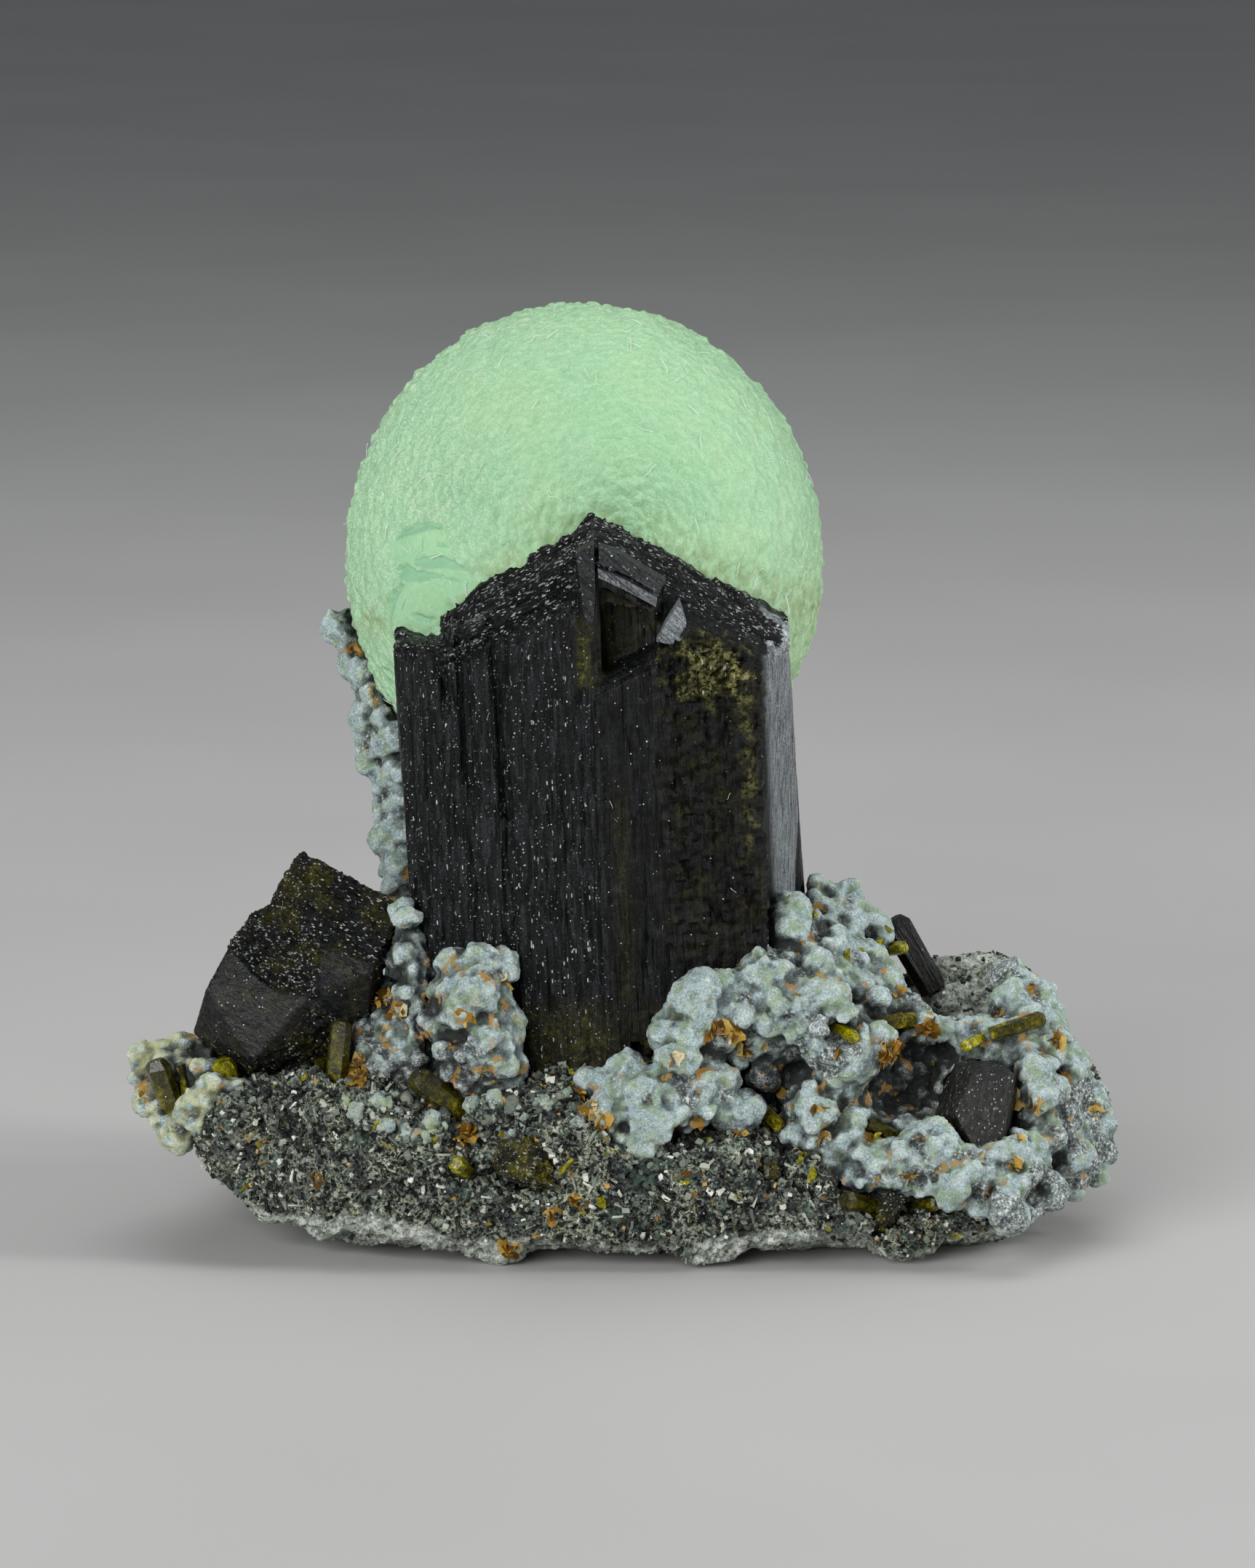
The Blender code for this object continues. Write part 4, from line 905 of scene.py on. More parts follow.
def add_slab(bm, outline, front, back, drop=0.0):
    """Adds a slab between two depths. Its top is lowered at the front, which makes a sloping shoulder."""
    lowered = [(x, z - drop if z > 25 else z) for x, z in outline]
    rings = [[bm.verts.new(Vector((x, y, z)) * MM) for x, z in corners] for corners, y in (
        (lowered, front), (outline, front + SHOULDER_DEPTH), (outline, back))]
    bm.faces.new(rings[0])
    bm.faces.new(reversed(rings[-1]))
    for near, far in zip(rings, rings[1:]):
        for i in range(len(near)):
            bm.faces.new((near[i - 1], far[i - 1], far[i], near[i]))


def cut_plane(obj, point, normal):
    """Cuts off what lies beyond the plane and closes the cut."""
    bm = bmesh.new()
    bm.from_mesh(obj.data)
    everything = bm.verts[:] + bm.edges[:] + bm.faces[:]
    made = bmesh.ops.bisect_plane(bm, geom=everything, plane_co=Vector(point) * MM,
                                  plane_no=Vector(normal), clear_outer=True)
    edges = [e for e in made["geom_cut"] if isinstance(e, bmesh.types.BMEdge)]
    bmesh.ops.contextual_create(bm, geom=edges)
    bmesh.ops.holes_fill(bm, edges=bm.edges, sides=0)
    bm.to_mesh(obj.data)
    bm.free()


def make_main_crystal():
    slabs = []
    chance = random.Random(21)
    for number, (outline, front) in enumerate(BUNDLE):
        bm = bmesh.new()
        add_slab(bm, outline, front, CRYSTAL_BACK + 0.35 * (front - BUNDLE[0][1]), SHOULDER_DROP)
        bmesh.ops.recalc_face_normals(bm, faces=bm.faces)
        slab = add_piece(f"slab_{number}", mesh_of(bm, "slab"))
        cut_plane(slab, (10.4, -12, 29.3), (0.92, -0.385, -0.077))
        cut_plane(slab, (-12.2, -8.6, 15), (-0.8, -0.55, 0.02))
        cut_plane(slab, (12.6, 1.0, 15), (0.75, 0.66, 0))
        cut_plane(slab, (-12.4, 1.0, 15), (-0.7, 0.7, 0))
        slabs.append(slab)
    # thin ribs that run down the faces
    for x, front, top, count, width in ((-9.6, -10.4, 29.5, 9, 3.6), (-5.6, -11.0, 31.0, 11, 5.0),
                                        (0.3, -12.0, 27.4, 8, 9.6)):
        for _ in range(count):
            left = x + chance.uniform(0, width)
            wide = chance.uniform(0.25, 0.9)
            high = top * chance.uniform(0.35, 0.99)
            low = chance.uniform(0, 0.3) * high
            bm = bmesh.new()
            add_slab(bm, [(left, low), (left + wide, low), (left + wide, high - wide * 0.3), (left, high)],
                     front - chance.uniform(0.08, 0.22), front + 1)
            bmesh.ops.recalc_face_normals(bm, faces=bm.faces)
            slabs.append(add_piece("rib", mesh_of(bm, "rib")))
    obj = slabs[0]
    join(obj, slabs[1:])
    obj.name = "main_crystal_skin"
    remesh(obj, CRYSTAL_VOXEL)
    # the notch at the foot
    mesh = obj.data
    points, out = places(mesh), normals(mesh)
    x, y, z = points.T
    notch = (x > 0.7) & (x < 4.8) & (y < -9.0) & (z < 5.6 + 0.5 * np.sin(x * 5) - 0.35 * x)
    points[notch, 1] += 1.6
    slope = z + 0.52 * np.abs(x - 0.3)
    roof = np.clip((slope - np.where(x < 0.3, 33.9, 35.0)) / 0.9, 0, 1) * (x > -9.6)
    roof = np.maximum(roof, np.clip((z - 30.2) / 0.6, 0, 1) * (x < -9.3))
    etched = smooth_box(x, 4.6, 10.2, 1.2) * smooth_box(z, 13.0, 30.0, 3.5) * (y < -11)
    facing = np.clip(-out[:, 1] * 2 - 0.6, 0, 1)
    lines = bumps(points, (0.7, 0.7, 16.0), 3) * 0.08 + bumps(points, (2.6, 2.6, 30.0), 2, 5.0) * 0.12
    lines += (stepped_ribs(x, z, 0.62, 6.0, 3) + stepped_ribs(x, z, 0.31, 2.4, 4)) * 0.16 * facing
    crumbs = bumps(points, 0.5, 3, 9.0)
    wave = slope + 0.5 * bumps(points, 2.0, 2, 6.0)
    layer = np.mod(wave, ROOF_LAYER) / ROOF_LAYER
    ledges = (layer - 0.5) * 0.36 * roof
    # the upper part of each roof ledge, which gets more painted specks and glints, as if lit
    lit = np.clip((layer - 0.35) * 4, 0, 1)
    lumpy = np.exp(-(((x - 7.0) / 2.3) ** 2) - ((z - 29.0) / 1.9) ** 2) * (y < -10)
    height = lines * (1 - 0.7 * roof) + crumbs * (0.02 + 0.09 * roof + 0.28 * etched + 0.5 * lumpy)
    place(mesh, points + out * (height + ledges)[:, None])
    window = inside(x, z, [(0.4, 34.0), (4.0, 33.0), (4.1, 31.3), (0.1, 28.4)]) * (y < -8.0)
    ragged = bumps(points, 0.9, 3, 4.0)
    top_patch = np.clip(1.5 * lumpy + 0.9 * ragged - 0.25, 0, 1) * (lumpy > 0.12)
    side_patch = np.exp(-(((x - 9.3) / 0.8) ** 2)) * smooth_box(z, 17.0, 27.0, 4.0) * (y < -11)
    side_patch *= np.clip(0.6 + 1.6 * ragged, 0, 1)
    strip = np.exp(-(((x - 1.2) / 0.5) ** 2)) * smooth_box(z, 3.0, 21.0, 2.0) * (y < -11)
    ridge = smooth_box(x, -1.0, -0.2, 0.2) * smooth_box(z, 28.5, 32.0, 0.6) * (y < -10)
    olive = np.maximum.reduce([0.45 * window, top_patch * 1.3, 0.8 * side_patch, 0.5 * strip, 0.8 * ridge,
                               0.5 * etched * np.clip(0.5 + 2 * ragged, 0, 1)])
    olive = np.maximum(olive, 0.5 * smooth_box(z, -1.0, 7.0, 1.5) * (y < -11) * (np.abs(x + 0.5) < 6))
    store(mesh, "olive", np.clip(olive, 0, 1))
    store(mesh, "lumps", np.clip(top_patch + 0.6 * side_patch - 0.1, 0, 1))
    left = np.clip((0.5 - x) / 1.5, 0, 1)
    # painted reflection on the glossy bevel at the right edge, weaker low down
    bevel = np.clip((x - 10.4) / 0.5, 0, 1) * (out[:, 0] > 0.5) * (y < -5)
    store(mesh, "pale", np.clip(1.0 * bevel * np.clip(z / 12, 0.3, 1), 0, 1))
    # more specks on the left face, which are dust, and on the roof, which are painted glints, most on the lit ledge
    # tops
    store(mesh, "dust", np.clip(0.14 + 0.6 * left * (1 - roof) + (0.25 + 0.75 * lit) * roof - 0.1 * etched - 0.1 * bevel, 0, 1))
    # painted glints: most on the roof and its lit ledge tops, some on the left face, the etched patch and the olive
    # lumps
    rough = 0.1 + (0.62 + 0.38 * lit) * roof + 0.12 * etched + 0.28 * left * (1 - roof) + 0.4 * top_patch
    store(mesh, "rough", np.clip(rough, 0, 1))
    rising = np.where(x < 0.3, 1.0, -1.0)
    along = np.stack([0.887 * z - 0.461 * rising * x, y, 0.887 * x + 0.461 * rising * z], -1)
    store(mesh, "way", np.where((roof > 0.5)[:, None], along, points))
    lean = Matrix.Translation(CRYSTAL_FOOT * MM) @ Matrix.Rotation(CRYSTAL_LEAN, 4, "Y")
    mesh.transform(lean)
    mesh.shade_smooth()
    mesh.set_sharp_from_angle(angle=math.radians(40))
    finish(obj, DARK, "dark_epidote", "epidote_main")
    return obj


def stepped_ribs(x, z, width, length, salt):
    """Flat ribs side by side, each of its own height, that start and stop at heights of their own."""
    column = np.floor(x / width + 0.25 * np.sin(z * 0.4 + salt)).astype(int)
    shift = np.modf(np.abs(np.sin(column * 12.9898 + salt) * 43758.5453))[0]
    segment = np.floor(z / length + shift * 3).astype(int)
    return np.modf(np.abs(np.sin(column * 78.233 + segment * 37.719 + salt) * 24634.6345))[0] - 0.5


CRYSTAL_PLATES = [
    # flat facets about the ridge: front depth, how strong a painted reflection, and the outline on the front view
    (-12.3, 0.05, [(734, 706), (757, 694), (759, 750), (757, 792), (748, 798), (741, 760)]),
    (-12.2, 0.08, [(763, 698), (790, 706), (813, 722), (849, 743), (839, 757), (800, 734), (764, 719)]),
    (-12.4, 0.32, [(762, 726), (800, 741), (838, 763), (836, 774), (795, 752), (763, 737)]),
    (-12.3, 0.55, [(837, 818), (849, 795), (866, 769), (875, 795), (872, 818), (854, 822)]),
]


def make_plates():
    """The ridge's smooth facets, which catch the light, each with a painted reflection of its listed strength."""
    bm = bmesh.new()
    tone = bm.verts.layers.float.new("pale")
    for depth, pale, outline in CRYSTAL_PLATES:
        front = [bm.verts.new(seen(x, y, depth) * MM) for x, y in outline]
        back = [bm.verts.new(v.co + Vector((0, 1.6, 0.1)) * MM) for v in front]
        for v in front + back:
            v[tone] = pale
        bm.faces.new(front)
        bm.faces.new(reversed(back))
        for i in range(len(front)):
            bm.faces.new((front[i - 1], back[i - 1], back[i], front[i]))
    bmesh.ops.recalc_face_normals(bm, faces=bm.faces)
    obj = add_piece("ridge_facets", mesh_of(bm, "ridge_facets"))
    points = places(obj.data)
    store(obj.data, "olive", np.full(len(points), 0.05))
    store(obj.data, "dust", np.full(len(points), 0.5))
    store(obj.data, "rough", np.full(len(points), 0.45))
    store(obj.data, "way", crystal_way(points, (0.75, 0, -0.66)))
    finish(obj, DARK, "dark_epidote")


def smooth_box(values, low, high, soft):
    """1 between low and high, fading to 0 over the soft distance outside."""
    return np.clip((values - low) / soft + 1, 0, 1) * np.clip((high - values) / soft + 1, 0, 1)


def inside(x, z, corners):
    """1 inside a convex outline whose corners go clockwise, fading out at its edge."""
    share = np.ones_like(x)
    for (ax, az), (bx, bz) in zip(corners, corners[1:] + corners[:1]):
        length = math.hypot(bx - ax, bz - az)
        off = ((bx - ax) * (z - az) - (bz - az) * (x - ax)) / length
        share = np.minimum(share, np.clip(0.5 - off / 0.3, 0, 1))
    return share


# The other crystals.

def crystal_way(points, axis):
    """The points in a frame whose z runs along the crystal."""
    turn = Vector(axis).rotation_difference(Vector((0, 0, 1))).to_matrix()
    return points @ np.array(turn).T


def dress_crystal(obj, node, axis, voxel, lines, crumbs, olive, dust, rough, material, slot, calm=None,
                  bright=None):
    """Gives a crystal its striations, crumbling and the values that its finish reads.

    voxel is 0 for a crystal that keeps its flat faces. calm gives the share of each point that is smooth.
    bright is where the front view shows most glints: across, down and reach.
    """
    if voxel:
        remesh(obj, voxel)
    mesh = obj.data
    points, out = places(mesh), normals(mesh)
    way = crystal_way(points, axis)
    still = calm(points) if calm else np.zeros(len(points))
    if voxel:
        height = bumps(way, (0.6, 0.6, 8.0), 3) * lines + bumps(points, 0.5, 3, 4.0) * crumbs
        place(mesh, points + out * (height * (1 - 0.85 * still))[:, None])
    patch = np.clip(0.5 + 1.6 * bumps(points, 2.0, 3, 6.0), 0, 1)
    if not voxel:
        length = (way[:, 2] - way[:, 2].min()) / np.ptp(way[:, 2])
        if axis[2] < 0:
            length = 1 - length
        patch = np.clip(1.25 - 1.15 * length + 0.5 * (patch - 0.5), 0.12, 1)
    store(mesh, "olive", np.clip(olive * patch, 0, 1) * (1 - 0.65 * still))
    store(mesh, "dust", dust * (1 - 0.15 * still))
    if bright:
        across, down = view_places(points)
        x, y, reach = bright
        rough = rough * (0.6 + 0.4 * np.exp(-(((across - x) ** 2 + (down - y) ** 2) / reach ** 2)))
    store(mesh, "rough", rough * (1 - still))
    # a faint painted reflection on the smooth faces
    store(mesh, "pale", 0.02 * still)
    store(mesh, "way", way)
    mesh.shade_smooth()
    mesh.set_sharp_from_angle(angle=math.radians(38 if voxel else 12))
    finish(obj, material, slot, *([node] if node else []))


def long_axis(obj):
    """The direction in which the piece is longest."""
    points = places(obj.data)
    _, _, axes = np.linalg.svd(points - points.mean(0), full_matrices=False)
    return Vector(axes[0])


LEFT_SMOOTH_FACES = [
    [(287, 1205), (325, 1243), (355, 1267), (408, 1273), (355, 1341), (325, 1352), (268, 1326), (235, 1330),
     (250, 1262)],
    [(408, 1209), (478, 1228), (478, 1288), (453, 1301), (419, 1292), (406, 1277)],
]


def make_left_crystal():
    def calm(points):
        across, down = view_places(points)
        share = np.zeros(len(points))
        for outline in LEFT_SMOOTH_FACES:
            share[within(across, down, outline) & (points[:, 1] < -5)] = 1
        return share
    obj = copy_of("epidote_left", "left_crystal_skin")
    dress_crystal(obj, "epidote_left", (0.82, 0.1, -0.55), 0.15, 0.16, 0.22, 0.75, 0.32, 1.0,
                  DARK_LEFT, "dark_epidote", calm, (338, 1222, 60))


def make_tabular_crystal():
    obj = copy_of("epidote_tabular", "tabular_crystal_skin")
    dress_crystal(obj, "epidote_tabular", (0.25, 0.0, 1.0), 0, 0.03, 0.02, 0.15, 0.9, 0.4,
                  DARK_TABULAR, "dark_epidote")


PRISM_FINISH = {
    # crystals that are darker or yellower than the common olive
    "prism_left_yellow": "yellow", "prism_yellow_mound": "yellow", "prism_back_yellow": "yellow",
    "prism_long_tail": "yellow", "prism_rock_small": "yellow", "prism_back": "dark",
    "prism_rock_front": "rough", "prism_front_middle": "rough",
}


def make_prisms():
    finishes = {"yellow": YELLOW, "dark": DARK_TABULAR, "rough": OLIVE, "olive": OLIVE}
    for node in sorted(NODES):
        if not node.startswith("prism_"):
            continue
        kind = PRISM_FINISH.get(node, "olive")
        obj = copy_of(node, node + "_skin")
        rough = kind == "rough"
        slot = "dark_epidote" if node in ("prism_back", "prism_rock_front") else "olive_epidote"
        dress_crystal(obj, node, long_axis(obj), 0.1 if rough else 0, 0.05, 0.3, 1.0 if kind != "dark" else 0.25,
                      0.12, 0.9 if rough else 0.1, finishes[kind], slot)


# The crusts.

CAVE_DEPTH = 2.2
CAVES = [
    [(935, 1371), (976, 1348), (1028, 1354), (1034, 1377), (1011, 1400), (993, 1412), (976, 1409), (947, 1389)],
    [(1092, 1412), (1109, 1377), (1127, 1342), (1162, 1325), (1208, 1331), (1220, 1354), (1196, 1371),
     (1194, 1424), (1162, 1429), (1138, 1424), (1109, 1406)],
    [(900, 1313), (925, 1310), (932, 1345), (915, 1356), (897, 1340)],
    [(536, 1284), (548, 1271), (564, 1275), (568, 1290), (553, 1300), (540, 1296)],
    [(560, 1322), (592, 1306), (598, 1320), (570, 1336)],
]


KNOBS = [
    # the pointed knob of the front arm: across, down, depth and radius
    (1033, 1391, -15.8, 0.62), (1029, 1401, -15.9, 0.8), (1026, 1416, -16.1, 0.85), (1042, 1408, -15.9, 0.8),
    (1054, 1422, -16.2, 0.9), (1036, 1430, -16.3, 0.95),
]
RIGHT_MOUND = [(1150, 1275), (1175, 1225), (1250, 1190), (1300, 1215), (1290, 1275), (1230, 1305)]
WORN_PLACES = [
    # where the crusts are greyer, rougher and cracked
    [(556, 1340), (588, 1318), (628, 1350), (660, 1400), (640, 1446), (580, 1436)],
    [(500, 1330), (540, 1330), (548, 1400), (500, 1410), (470, 1390)],
    [(1352, 1392), (1400, 1370), (1440, 1440), (1430, 1540), (1360, 1580), (1330, 1500)],
    RIGHT_MOUND,
    [(1255, 1520), (1330, 1480), (1360, 1540), (1320, 1600), (1240, 1580)],
    [(1000, 1290), (1080, 1300), (1100, 1345), (1060, 1375), (1010, 1350)],
]


def in_caves(points):
    """1 for the points that the front view shows in the dark hollows between the crust's arms."""
    across, down = view_places(points)
    share = np.zeros(len(points))
    for outline in CAVES:
        share[within(across, down, outline) & (points[:, 1] < -4)] = 1
    return share


def ball_mesh(centre, radius):
    bm = bmesh.new()
    bmesh.ops.create_icosphere(bm, subdivisions=2, radius=radius * MM, matrix=Matrix.Translation(centre * MM))
    return mesh_of(bm, "ball")


def make_crust(node):
    obj = copy_of(node, node + "_skin")
    remesh(obj, 0.26)
    mesh = obj.data
    place(mesh, evened(mesh, places(mesh), 3))
    place(mesh, places(mesh) - normals(mesh) * BUD_ROOM)
    points, out = places(mesh), normals(mesh)
    deep = in_caves(points) * np.clip(0.6 - out[:, 1], 0, 1)
    points[:, 1] += evened(mesh, deep[:, None], 5)[:, 0] * CAVE_DEPTH
    place(mesh, points)
    snug(obj, [name for name in NODES if name != node], SNUG_REACH + BUD_ROOM, SNUG_GROWTH + BUD_ROOM)
    store(mesh, "bare", np.ones(len(mesh.vertices)))
    large = strew(node + "_lobes", obj, BUDS, per_mm2=0.4, spacing=1.5, smallest=0.7, largest=1.7,
                  sunk=0.55, tumble=0.6, seed=len(node))
    small = strew(node + "_buds", obj, BUDS, per_mm2=0.8, spacing=0.7, smallest=0.3, largest=0.75,
                  sunk=0.1, tumble=0.6, seed=len(node) + 40)
    knobs = [add_piece("knob", ball_mesh(seen(*at), size)) for *at, size in KNOBS] if node == "crust_right" else []
    join(obj, [large, small] + knobs)
    remesh(obj, CRUST_VOXEL)
    mesh = obj.data
    place(mesh, evened(mesh, places(mesh), 2))
    points, out = places(mesh), normals(mesh)
    height = bumps(points, 0.5, 3) * 0.13 + bumps(points, 1.6, 2, 3.0) * 0.3
    points += out * height[:, None]
    points[:, 2] = np.maximum(points[:, 2], 0)
    place(mesh, points)
    hollow = hollowness(mesh, 16, 0.2)
    covered = shelter(obj, [NODES[name] for name in NODES if name != node], 3.0)
    # painted shade: the hollows, where other pieces shelter the crust, and the caves; the left crusts a little darker
    # throughout
    dark = 0.55 * hollow + 0.85 * evened(mesh, covered[:, None], 2)[:, 0]
    dark += 0.45 * evened(mesh, in_caves(points)[:, None], 4)[:, 0]
    store(mesh, "hollow", np.clip(dark + (0.12 if node.startswith("crust_left") else 0.0), 0, 1))
    # the broad hollows get the grey as painted shade; the listed places are worn grey
    low = np.clip(0.5 + 2.2 * (hollowness(mesh, 90, 1.0) - 0.5), 0, 1)
    patchy = np.clip(0.5 + 1.6 * bumps(points, 1.5, 3, 5.0), 0, 1)
    across, down = view_places(points)
    for outline in WORN_PLACES:
        low = np.maximum(low, 1.4 * (within(across, down, outline) & (points[:, 1] < 0)))
    if node == "crust_left_gap":
        low = np.maximum(low, np.clip((17.0 - points[:, 2]) / 4, 0, 1))
    store(mesh, "low", evened(mesh, np.clip(low * patchy, 0, 1)[:, None], 3)[:, 0])
    store(mesh, "warm", np.full(len(points), 0.9 if node == "crust_left_tip" else 0.15))
    # where the crests get the white fuzz and painted highlight
    store(mesh, "crest", np.clip(1 - 2.2 * hollow, 0, 1))
    mesh.shade_smooth()
    finish(obj, CRUST, "prehnite_crust", node)
    return obj


# The host rock.

def make_rock():
    obj = copy_of("matrix", "rock_skin")
    remesh(obj, ROCK_VOXEL)
    snug(obj, [name for name in NODES if name != "matrix"])
    mesh = obj.data
    points, out = places(mesh), normals(mesh)
    above = np.clip(points[:, 2] / 0.8, 0, 1)
    height = 0.22 - np.abs(bumps(points, 0.6, 2)) * 0.95 + bumps(points, 2.4, 2, 8.0) * 0.35
    points += out * (height * (0.15 + 0.85 * above))[:, None]
    points[:, 2] = np.maximum(points[:, 2], 0)
    place(mesh, points)
    covered = shelter(obj, [NODES[name] for name in NODES if name != "matrix"], 3.0)
    across, down = view_places(points)
    mound = evened(mesh, (within(across, down, RIGHT_MOUND) & (points[:, 1] < 0)).astype(float)[:, None], 6)[:, 0]
    shade = 0.6 * hollowness(mesh, 10, 0.2) * (1 - 0.3 * mound) + 0.75 * covered * (1 - 0.95 * mound)
    store(mesh, "hollow", np.clip(shade, 0, 1))
    chalky = mound * np.clip(0.54 + 1.3 * bumps(points, 0.9, 3, 2.0), 0, 0.9)
    store(mesh, "rim", np.maximum(rim_share(points, out), chalky))
    mesh.shade_smooth()
    finish(obj, ROCK, "host_rock", "matrix")
    return obj


RIMS = [
    # the pale lower edge: its upper line on the front view
    [(235, 1484), (280, 1512), (312, 1530), (345, 1546), (420, 1550), (473, 1545), (520, 1556), (564, 1572),
     (600, 1582), (655, 1578), (700, 1580)],
    [(885, 1584), (930, 1574), (1000, 1566), (1070, 1572)],
]


def rim_share(points, out):
    """How much each point lies on the pale lower rim."""
    across, down = view_places(points)
    edge = np.zeros(len(points))
    for corners in RIMS:
        line = np.interp(across, *np.array(corners).T)
        here = (across > corners[0][0]) & (across < corners[-1][0]) & (points[:, 1] < -6)
        edge = np.maximum(edge, np.clip((down - line) / 7, 0, 1) * here)
    under = np.clip(-out[:, 2] * 1.5 - 0.7, 0, 1) * (points[:, 1] < -6)
    return np.clip(np.maximum(edge, under) * (1.1 + 1.4 * bumps(points, 1.2, 3, 1.0)), 0, 1)


def open_share(ground, others, reach=1.0):
    """1 where nothing else covers the ground within reach of it, else 0."""
    cover = tree_of_faces(others)
    mesh = ground.data
    points, out = places(mesh), normals(mesh)
    free = [cover.ray_cast(Vector(p), Vector(n), reach * MM)[0] is None
            for p, n in zip((points + out * 0.15) * MM, out)]
    return np.array(free, float), points, out


def make_grains(rock, others):
    free, points, out = open_share(rock, others)
    free *= (points[:, 2] > 0.25) * (rim_share(points, out) < 0.35)
    front = points[:, 1] < -9
    for name, side, number, seed in (("rock_grains_front", front, 4.4, 3),
                                     ("rock_grains_back", ~front, 1.3, 4)):
        ground = add_piece("ground", rock.data.copy())
        store(ground.data, "bare", free * side)
        grains = strew(name, ground, GRAINS, GRAIN, per_mm2=number, smallest=0.2, largest=0.7,
                       sunk=0.03, seed=seed)
        bpy.data.objects.remove(ground)
        finish(grains, GRAIN, "host_rock")


# Ochre flakes: clusters by their place on the front view, depth and reach.

FLAKE_PLACES = [
    (930, 1318, -14.6, 1.1), (945, 1338, -14.2, 1.0), (912, 1312, -15.2, 0.7),
    (738, 1390, -15.2, 0.8), (755, 1418, -16.2, 1.1), (768, 1438, -16.6, 0.8),
    (1182, 1312, -10.4, 1.1), (1132, 1340, -11.4, 1.1), (1068, 1345, -15.6, 0.6),
    (602, 1440, -17.0, 1.1), (594, 1452, -17.0, 0.9), (492, 1276, -10.8, 1.0), (510, 1292, -11.4, 1.0),
    (460, 1360, -13.0, 1.0), (458, 1378, -13.4, 0.9), (862, 1348, -15.4, 0.6), (596, 1300, -15.4, 0.5),
    (640, 1250, -14.8, 0.6), (380, 1352, -12.4, 0.5), (346, 1354, -12.4, 0.5), (405, 1504, -16.6, 0.8), (650, 1588, -17.0, 1.0),
    (475, 1440, -16.4, 0.4), (732, 1528, -18.2, 0.6), (702, 1550, -18.0, 0.5), (886, 1430, -17.4, 0.5),
    (1300, 1400, -12.2, 0.7), (1322, 1410, -12.6, 0.6), (1158, 1500, -17.2, 0.6), (1254, 1478, -17.2, 0.5),
    (1290, 1488, -16.4, 0.5), (1262, 1520, -17.4, 0.5), (1346, 1330, -9.6, 0.6), (1310, 1260, -5.6, 0.5),
    (1146, 1268, -8.8, 0.5), (944, 1444, -16.8, 0.5), (1040, 1418, -15.8, 0.5), (1046, 1452, -16.2, 0.5),
    (490, 838, 5.2, 0.8), (486, 858, 5.2, 0.6), (998, 1388, -12.0, 0.5), (185, 1398, -9.6, 0.4),
    (1106, 1452, -16.2, 0.4), (1300, 1452, -14.2, 0.4), (1398, 1414, -8.2, 0.4), (868, 1498, -18.4, 0.4),
]


def make_flakes(surfaces):
    """Clusters of flakes where the front view shows them, on whatever surface is there."""
    ground_tree = tree_of_faces(surfaces)
    eye = VIEW_AIM + Vector((0, -math.cos(VIEW_TILT), math.sin(VIEW_TILT))) * VIEW_RANGE
    bm = bmesh.new()
    for across, down, depth, reach in FLAKE_PLACES:
        way = (seen(across, down, depth) - eye).normalized()
        hit = ground_tree.ray_cast(eye * MM, way)[0]
        if hit is None:
            continue
        bmesh.ops.create_icosphere(bm, subdivisions=2, radius=reach * 0.55 * MM,
                                   matrix=Matrix.Translation(hit + way * 0.2 * reach * MM))
    ground = add_piece("ground", mesh_of(bm, "ground"))
    store(ground.data, "bare", np.ones(len(ground.data.vertices)))
    flakes = strew("ochre_flakes", ground, FLAKES, OCHRE, per_mm2=9.0, smallest=0.28, largest=0.85,
                   sunk=0.0, tumble=1.5, seed=8)
    bpy.data.objects.remove(ground)
    finish(flakes, OCHRE, "prehnite_crust")


LUMP_PLACES = [(425, 1400), (470, 1382), (560, 1380), (640, 1392), (700, 1396), (760, 1385), (800, 1392),
               (780, 1420), (700, 1440), (600, 1446), (540, 1452), (470, 1444)]


def make_rock_lumps(rock):
    """Rounded green-grey lumps along the top edge of the rock."""
    ground = add_piece("ground", rock.data.copy())
    points = places(ground.data)
    across, down = view_places(points)
    store(ground.data, "bare", (within(across, down, LUMP_PLACES) & (points[:, 1] < -9)).astype(float))
    lumps = strew("rock_lumps", ground, BUDS, CRUST, per_mm2=1.5, smallest=0.2, largest=0.7, sunk=0.25, seed=12)
    bpy.data.objects.remove(ground)
    mesh = lumps.data
    points = places(mesh)
    tone = np.clip(0.5 + 1.5 * bumps(points, 1.2, 2, 2.0), 0, 1)
    store(mesh, "hollow", 0.40 + 0.16 * tone)
    store(mesh, "low", 0.5 * (1 - tone))
    store(mesh, "warm", np.full(len(points), 0.4))
    store(mesh, "crest", np.full(len(points), 0.1))
    points += normals(mesh) * (bumps(points, 0.5, 3, 5.0) * 0.28)[:, None]
    points[:, 2] = np.maximum(points[:, 2], 0)
    place(mesh, points)
    mesh.shade_smooth()
    finish(lumps, CRUST, "host_rock")


def make_tiny_crystals(grounds):
    for name, ground, number, seed in grounds:
        copy = add_piece("ground", ground.data.copy())
        free, points, out = open_share(copy, [main_crystal])
        store(copy.data, "bare", free * (out[:, 2] > -0.3))
        tiny = strew(name, copy, TINY, YELLOW, per_mm2=number, smallest=0.3, largest=0.85, tumble=1.2, seed=seed)
        bpy.data.objects.remove(copy)
        mesh = tiny.data
        points = places(mesh)
        for label, value in (("olive", 0.6), ("dust", 0.05), ("rough", 0.1), ("pale", 0.0)):
            store(mesh, label, np.full(len(points), value))
        store(mesh, "way", points)
        finish(tiny, YELLOW, "olive_epidote")


